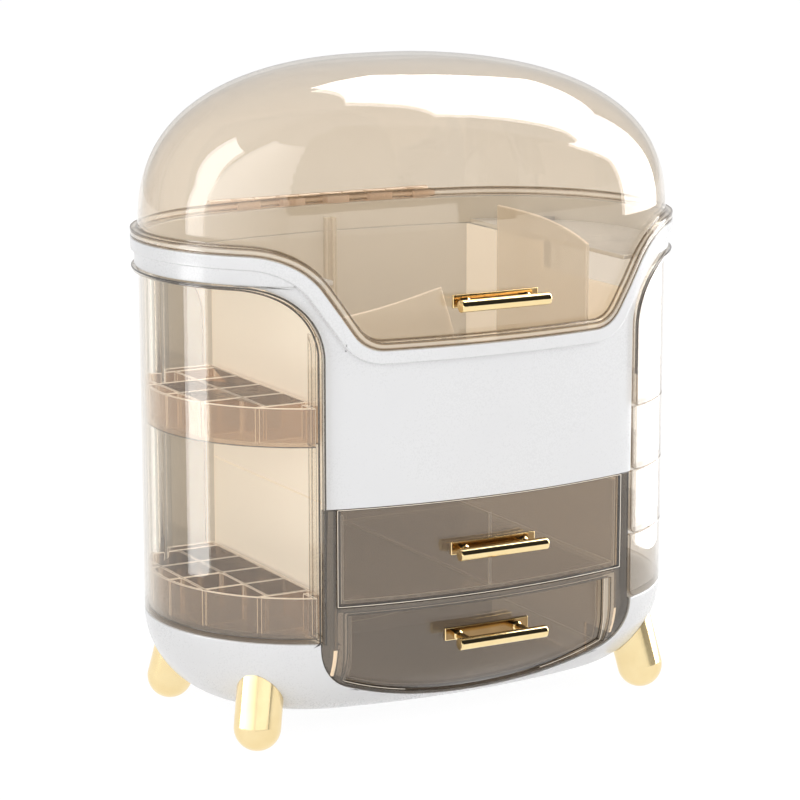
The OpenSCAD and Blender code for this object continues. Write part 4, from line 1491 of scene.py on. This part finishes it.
@dataclass
class Pods:
    """Door pod on the left and stacked trays on the right."""

    shop: Workshop
    trays: int = 4
    plan: OvalPlan = OvalPlan()
    ease: float = 0.4
    rack_ease: float = 0.25
    rack_end: float = 1.8
    edge_x: float = 93.8
    arch_r: float = 37.0
    top_z: float = 246.3
    floor_z: float = 60.4
    lip: float = 3.3
    lip_back: float = 34.0
    inner_inset: float = 2.0
    inner_off: float = 0.4
    edge_steps: int = 12
    arch_steps: int = 24
    top_steps: int = 30
    right_from: int = 10
    line_r: float = 0.5
    mid_top: float = 182.6
    mid_foot: float = 164.0
    low_top: float = 82.9
    low_foot: float = 63.0
    rack_highlight_r: float = 0.17
    foot_shade_r: float = 0.3

    def lip_path(self, side: int, inset: float, off: float) -> list[Point]:
        """Return the line round a pod's front edge and arched top.

        Args:
            side: -1 for the left pod, 1 for the right one.
            inset: Distance inside the pod's outline.
            off: Distance outside the plan.

        Returns:
            Its points, from the foot of the front edge to the back of the top edge.
        """
        middle_x, middle_z = self.edge_x + self.arch_r, self.top_z - self.arch_r
        radius = self.arch_r - inset
        steps = self.edge_steps
        flat = [(self.edge_x + inset, self.floor_z + k * (middle_z - self.floor_z) / steps)
                for k in range(steps)]
        for k in range(self.arch_steps + 1):
            turn = math.pi - math.pi / 2 * k / self.arch_steps
            flat.append((middle_x + radius * math.cos(turn), middle_z + radius * math.sin(turn)))
        path = [(side * x, -self.plan.reach(x, off), z) for x, z in flat]
        start = math.acos((middle_x - self.plan.end_x) / (self.plan.end_r + off))
        for k in range(1, self.top_steps + 1):
            turn = -start + (start + math.radians(self.lip_back)) * k / self.top_steps
            x, y = self.plan.at(turn, off)
            path.append((side * x, y, self.top_z - inset))
        return path

    def build_lines(self) -> None:
        """Build the painted dark lines along the pods' lips, which stand in for the shade of their clear
        edges; on the right they start at the top tray.
        """
        for side, node, name, first in (
            (-1, "left_door", "left", 0),
            (1, "right_tray_4", "right", self.right_from),
        ):
            outer = self.lip_path(side, self.line_r, self.lip)
            inner = self.lip_path(side, self.inner_inset, self.inner_off)
            self.shop.beaded(f"{name}_lip_lines", node, [outer[first:], inner[first:]],
                             self.line_r, Finish.SHADE_LINE)

    def build(self) -> None:
        """Build the pods."""
        self.shop.eased("left_door", self.ease, Finish.POD, Finish.SHADE_EDGE)
        for node, finish, top, foot in (
            ("left_mid_rack", Finish.RACK, self.mid_top, self.mid_foot),
            ("left_low_rack", Finish.SHADED_LOW_RACK, self.low_top, self.low_foot),
        ):
            self.shop.eased(node, self.rack_ease, finish, Finish.RACK_HIGHLIGHT_EDGE, self.rack_end)
            # Painted highlight beads along the racks' top edges; painted dark beads, standing in for shade,
            # round their feet.
            self.shop.lined(f"{node}_light_lines", node, self.rack_highlight_r, Finish.HIGHLIGHT_LINE, reaching(top))
            self.shop.lined(f"{node}_dark_lines", node, self.foot_shade_r, Finish.SHADE_LINE, below(foot))
        for number in range(1, self.trays + 1):
            self.shop.eased(f"right_tray_{number}", self.ease, Finish.TRAY, Finish.SHADE_EDGE)
        self.build_lines()


@dataclass
class Drawers:
    """Fronts, tubs and divider of both drawers, in millimetres."""

    shop: Workshop
    front_ease: float = 0.5
    front_end: float = 3.0
    tub_ease: float = 0.35
    highlight_r: float = 0.16
    shade_r: float = 0.4

    def build(self) -> None:
        """Build fronts, tubs and dividers."""
        for node in ("upper_drawer_front", "lower_drawer_front"):
            self.shop.eased(node, self.front_ease, Finish.SMOKE, Finish.SMOKE_SHADE_EDGE, self.front_end)
            # Painted highlight beads round the fronts' forward faces; painted dark beads, standing in for
            # shade, round their back faces.
            self.shop.lined(f"{node}_light_lines", node, self.highlight_r, Finish.HIGHLIGHT_LINE, framing(-1))
            self.shop.lined(f"{node}_dark_lines", node, self.shade_r, Finish.SHADE_LINE, framing(1))
        for node in ("upper_drawer_tub", "upper_drawer_divider", "lower_drawer_tub"):
            self.shop.eased(node, self.tub_ease, Finish.SMOKE_INSIDE, Finish.HIGHLIGHT_EDGE)


# ---- Studio ---------------------------------------------------------------------------


@dataclass(frozen=True)
class Lamp:
    """Soft square lamp.

    Attributes:
        name: Its name.
        place: Where it hangs, in metres.
        power: Power in watts.
    """

    name: str
    place: Point
    power: float


@dataclass(frozen=True)
class Card:
    """Curved card that only reflections see.

    Attributes:
        name: Its name.
        turns: Azimuth of its two sides in degrees; 0 is the front, 90 the right.
        rises: Height of its lower and upper edge in degrees above the horizon.
        glow: Brightness at its first and second side.
        top_turns: Azimuth of the sides at the upper edge where it differs.
    """

    name: str
    turns: tuple[float, float]
    rises: tuple[float, float]
    glow: tuple[float, float]
    top_turns: tuple[float, float] | None = None


@dataclass(frozen=True)
class Strip:
    """Upright card that stands on the floor close to the model, in metres.

    Attributes:
        name: Its name.
        start: x and y of its first side.
        end: x and y of its second side.
    """

    name: str
    start: tuple[float, float]
    end: tuple[float, float]


@dataclass
class Studio:
    """White floor and backdrop, soft lights, cards for reflections, and the camera, in metres."""

    floor_size: float = 16.0
    floor_grey: float = 0.85
    floor_glow: float = 1.12
    floor_share: float = 0.84
    aim_z: float = 0.2
    camera_place: Point = (-0.7772, -1.3944, 0.4883)
    camera_turn: float = math.radians(29.133)
    camera_tilt: float = math.radians(12.403)
    lens: float = 134.154
    sensor: float = 36.0
    clip: tuple[float, float] = (0.05, 60.0)
    shift: tuple[float, float] = (-0.00778, 0.0621)
    world_level: float = 0.5
    mirror_front: float = 0.35
    mirror_back: float = 0.6
    bright_from: float = 0.22
    bright_slope: float = 12.0
    lamp_aim: Point = (0.0, 0.0, 0.18)
    lamp_size: float = 1.8
    lamps: tuple[Lamp, ...] = (
        Lamp("front_lamp", (0.3, -2.6, 1.0), 14.5),
        Lamp("left_lamp", (-2.5, -0.9, 0.7), 19.5),
        Lamp("right_lamp", (2.3, -1.3, 1.3), 15.5),
        Lamp("top_lamp", (0.0, 0.2, 2.6), 12.0),
        Lamp("back_lamp", (0.4, 2.6, 1.1), 10.0),
    )
    card_distance: float = 2.4
    card_steps: int = 16
    card_rows: int = 8
    side_cards: tuple[Card, ...] = (
        Card("right_box", (62.0, 104.0), (-4.0, 38.0), (7.0, 7.0)),
        Card("top_box_foot", (66.0, 148.0), (38.0, 46.0), (7.0, 7.0), (74.0, 160.0)),
        Card("top_box", (74.0, 160.0), (46.0, 66.0), (7.0, 5.0), (90.0, 142.0)),
        Card("left_strip_foot", (-113.0, -96.5), (-4.0, 23.0), (4.8, 4.8)),
        Card("left_strip", (-113.0, -96.5), (23.0, 58.0), (4.8, 4.8), (-137.0, -106.0)),
    )
    strip_glow: tuple[float, float] = (5.5, 5.5)
    strip_rises: tuple[float, float] = (0.003, 0.19)
    strips: tuple[Strip, ...] = (
        Strip("near_left", (-0.447, 0.133), (-0.479, 0.009)),
        Strip("near_right", (0.442, -0.130), (0.400, 0.120)),
    )
    front_cards: tuple[Card, ...] = (
        Card("left_panel", (-98.0, -38.0), (-4.0, 72.0), (2.6, 1.0)),
        Card("front_glow", (-40.0, 22.0), (-3.0, 10.0), (1.3, 1.3)),
        Card("front_slit", (22.0, 34.0), (-1.0, 10.0), BLACK_GLOW),
        Card("front_black", (-40.0, 62.0), (10.0, 84.0), BLACK_GLOW),
    )

    def build_world(self) -> None:
        """Light the scene evenly; reflections see a bright back and a dimmer front."""
        world = bpy.data.worlds.new("white_world")
        bpy.context.scene.world = world
        world.use_nodes = True
        g = Graph(world.node_tree)
        path = g.node("ShaderNodeLightPath")
        seen = g.math("MAXIMUM", Value(g, path.outputs["Is Camera Ray"]),
                      Value(g, path.outputs["Is Transmission Ray"]))
        mirrored = Value(g, path.outputs["Is Glossy Ray"])
        way = g.node("ShaderNodeTexCoord").outputs["Generated"]
        back = g.value("ShaderNodeSeparateXYZ", {}, {0: way}, "Y")
        behind = ((back - self.bright_from) * self.bright_slope).clamped()
        in_mirror = behind * (self.mirror_back - self.mirror_front) + self.mirror_front
        level = seen + (1.0 - seen) * (mirrored * in_mirror + (1.0 - mirrored) * self.world_level)
        light = g.node("ShaderNodeBackground", {}, {"Color": WHITE, "Strength": level})
        g.node("ShaderNodeOutputWorld", {}, {"Surface": light})

    def build_floor(self) -> None:
        """Lay the floor, which keeps the shadow and is white elsewhere."""
        g = Graph.of_material("studio_floor")
        lit = g.node("ShaderNodeBsdfDiffuse", {}, {"Color": (*[self.floor_grey] * 3, 1)})
        glow = g.node("ShaderNodeEmission", {}, {"Color": WHITE, "Strength": self.floor_glow})
        path = g.node("ShaderNodeLightPath")
        seen = g.math("MAXIMUM", Value(g, path.outputs["Is Camera Ray"]),
                      Value(g, path.outputs["Is Glossy Ray"]))
        share = seen * self.floor_share
        material = g.output(g.node("ShaderNodeMixShader", {}, {0: share, 1: lit, 2: glow}))
        work = bmesh.new()
        bmesh.ops.create_grid(work, x_segments=2, y_segments=2, size=self.floor_size / 2)
        mesh = bpy.data.meshes.new("floor")
        work.to_mesh(mesh)
        work.free()
        mesh.materials.append(material)
        floor = linked("floor", mesh)

    def hang_card(self, card: Card) -> None:
        """Hang a curved card.

        Args:
            card: The card.
        """
        upper = card.top_turns or card.turns
        grid = []
        for j in range(self.card_rows + 1):
            share = j / self.card_rows
            ends = [low + (high - low) * share for low, high in zip(card.turns, upper)]
            rise = math.radians(card.rises[0] + (card.rises[1] - card.rises[0]) * share)
            line = []
            for i in range(self.card_steps + 1):
                turn = math.radians(ends[0] + (ends[1] - ends[0]) * i / self.card_steps)
                line.append((
                    self.card_distance * math.sin(turn) * math.cos(rise),
                    -self.card_distance * math.cos(turn) * math.cos(rise),
                    self.aim_z + self.card_distance * math.sin(rise),
                ))
            grid.append(line)
        self.glowing(card.name, grid, card.glow)

    def glowing(self, name: str, grid: list[list[Point]], glow: tuple[float, float]) -> None:
        """Make a glowing sheet that only reflections see.

        Args:
            name: Its name.
            grid: Its points, row by row.
            glow: Brightness at its first and second side.
        """
        g = Graph.of_material(name)
        across = g.value("ShaderNodeSeparateXYZ", {}, {0: g.node("ShaderNodeTexCoord").outputs["UV"]}, "X")
        strength = across * (glow[1] - glow[0]) + glow[0]
        material = g.output(g.node("ShaderNodeEmission", {}, {"Color": WHITE, "Strength": strength}))
        rows, steps = len(grid) - 1, len(grid[0]) - 1
        points = [point for line in grid for point in line]
        faces, corners = [], []
        for j in range(rows):
            for i in range(steps):
                a = j * (steps + 1) + i
                faces.append((a, a + 1, a + steps + 2, a + steps + 1))
                corners += [(i / steps, 0), ((i + 1) / steps, 0), ((i + 1) / steps, 1), (i / steps, 1)]
        mesh = bpy.data.meshes.new(name)
        mesh.from_pydata(points, [], faces)
        layer = mesh.uv_layers.new(name="card")
        for loop, corner in zip(layer.data, corners):
            loop.uv = corner
        mesh.materials.append(material)
        thing = linked(name, mesh)
        thing.visible_camera = False
        thing.visible_diffuse = False
        thing.visible_shadow = False
        thing.visible_transmission = False

    def hang_lamp(self, lamp: Lamp) -> None:
        """Hang a lamp, which reflections don't see.

        Args:
            lamp: The lamp.
        """
        light = bpy.data.lights.new(lamp.name, "AREA")
        light.shape = "SQUARE"
        light.size = self.lamp_size
        light.energy = lamp.power
        thing = linked(lamp.name, light)
        thing.location = lamp.place
        thing.rotation_mode = "QUATERNION"
        thing.rotation_quaternion = (Vector(self.lamp_aim) - Vector(lamp.place)).to_track_quat("-Z", "Y")
        thing.visible_camera = False
        thing.visible_glossy = False

    def build_lights(self) -> None:
        """Hang lamps and reflection cards."""
        for lamp in self.lamps:
            self.hang_lamp(lamp)
        for card in self.side_cards:
            self.hang_card(card)
        for strip in self.strips:
            rows = [[(*strip.start, z), (*strip.end, z)] for z in self.strip_rises]
            self.glowing(strip.name, rows, self.strip_glow)
        for card in self.front_cards:
            self.hang_card(card)

    def build_camera(self) -> None:
        """Set the camera."""
        data = bpy.data.cameras.new("camera")
        data.sensor_width = self.sensor
        data.lens = self.lens
        data.shift_x, data.shift_y = self.shift
        data.clip_start, data.clip_end = self.clip
        camera = linked("camera", data)
        camera.location = self.camera_place
        a, e = -self.camera_turn, self.camera_tilt
        back = Vector((math.sin(a) * math.cos(e), -math.cos(a) * math.cos(e), math.sin(e)))
        camera.rotation_mode = "QUATERNION"
        camera.rotation_quaternion = (-back).to_track_quat("-Z", "Y")
        bpy.context.scene.camera = camera

    def build(self) -> None:
        """Build the whole studio."""
        bpy.context.scene.view_settings.view_transform = "Standard"
        self.build_world()
        self.build_floor()
        self.build_lights()
        self.build_camera()


def main() -> None:
    """Build the sub-assemblies in order."""
    logging.basicConfig(level=logging.INFO, format="%(name)s: %(message)s")
    shop = Workshop(Paintbox())
    Studio().build()
    Lid(shop).build()
    Cabinet(shop).build()
    Pods(shop).build()
    Drawers(shop).build()
    for handle in (
        Handle(shop, "lid_handle", 234.3, -95.0),
        Handle(shop, "upper_handle", 104.1, -94.0),
        Handle(shop, "lower_handle", 56.3, -88.0),
    ):
        handle.build()


if __name__ == "__main__":
    main()
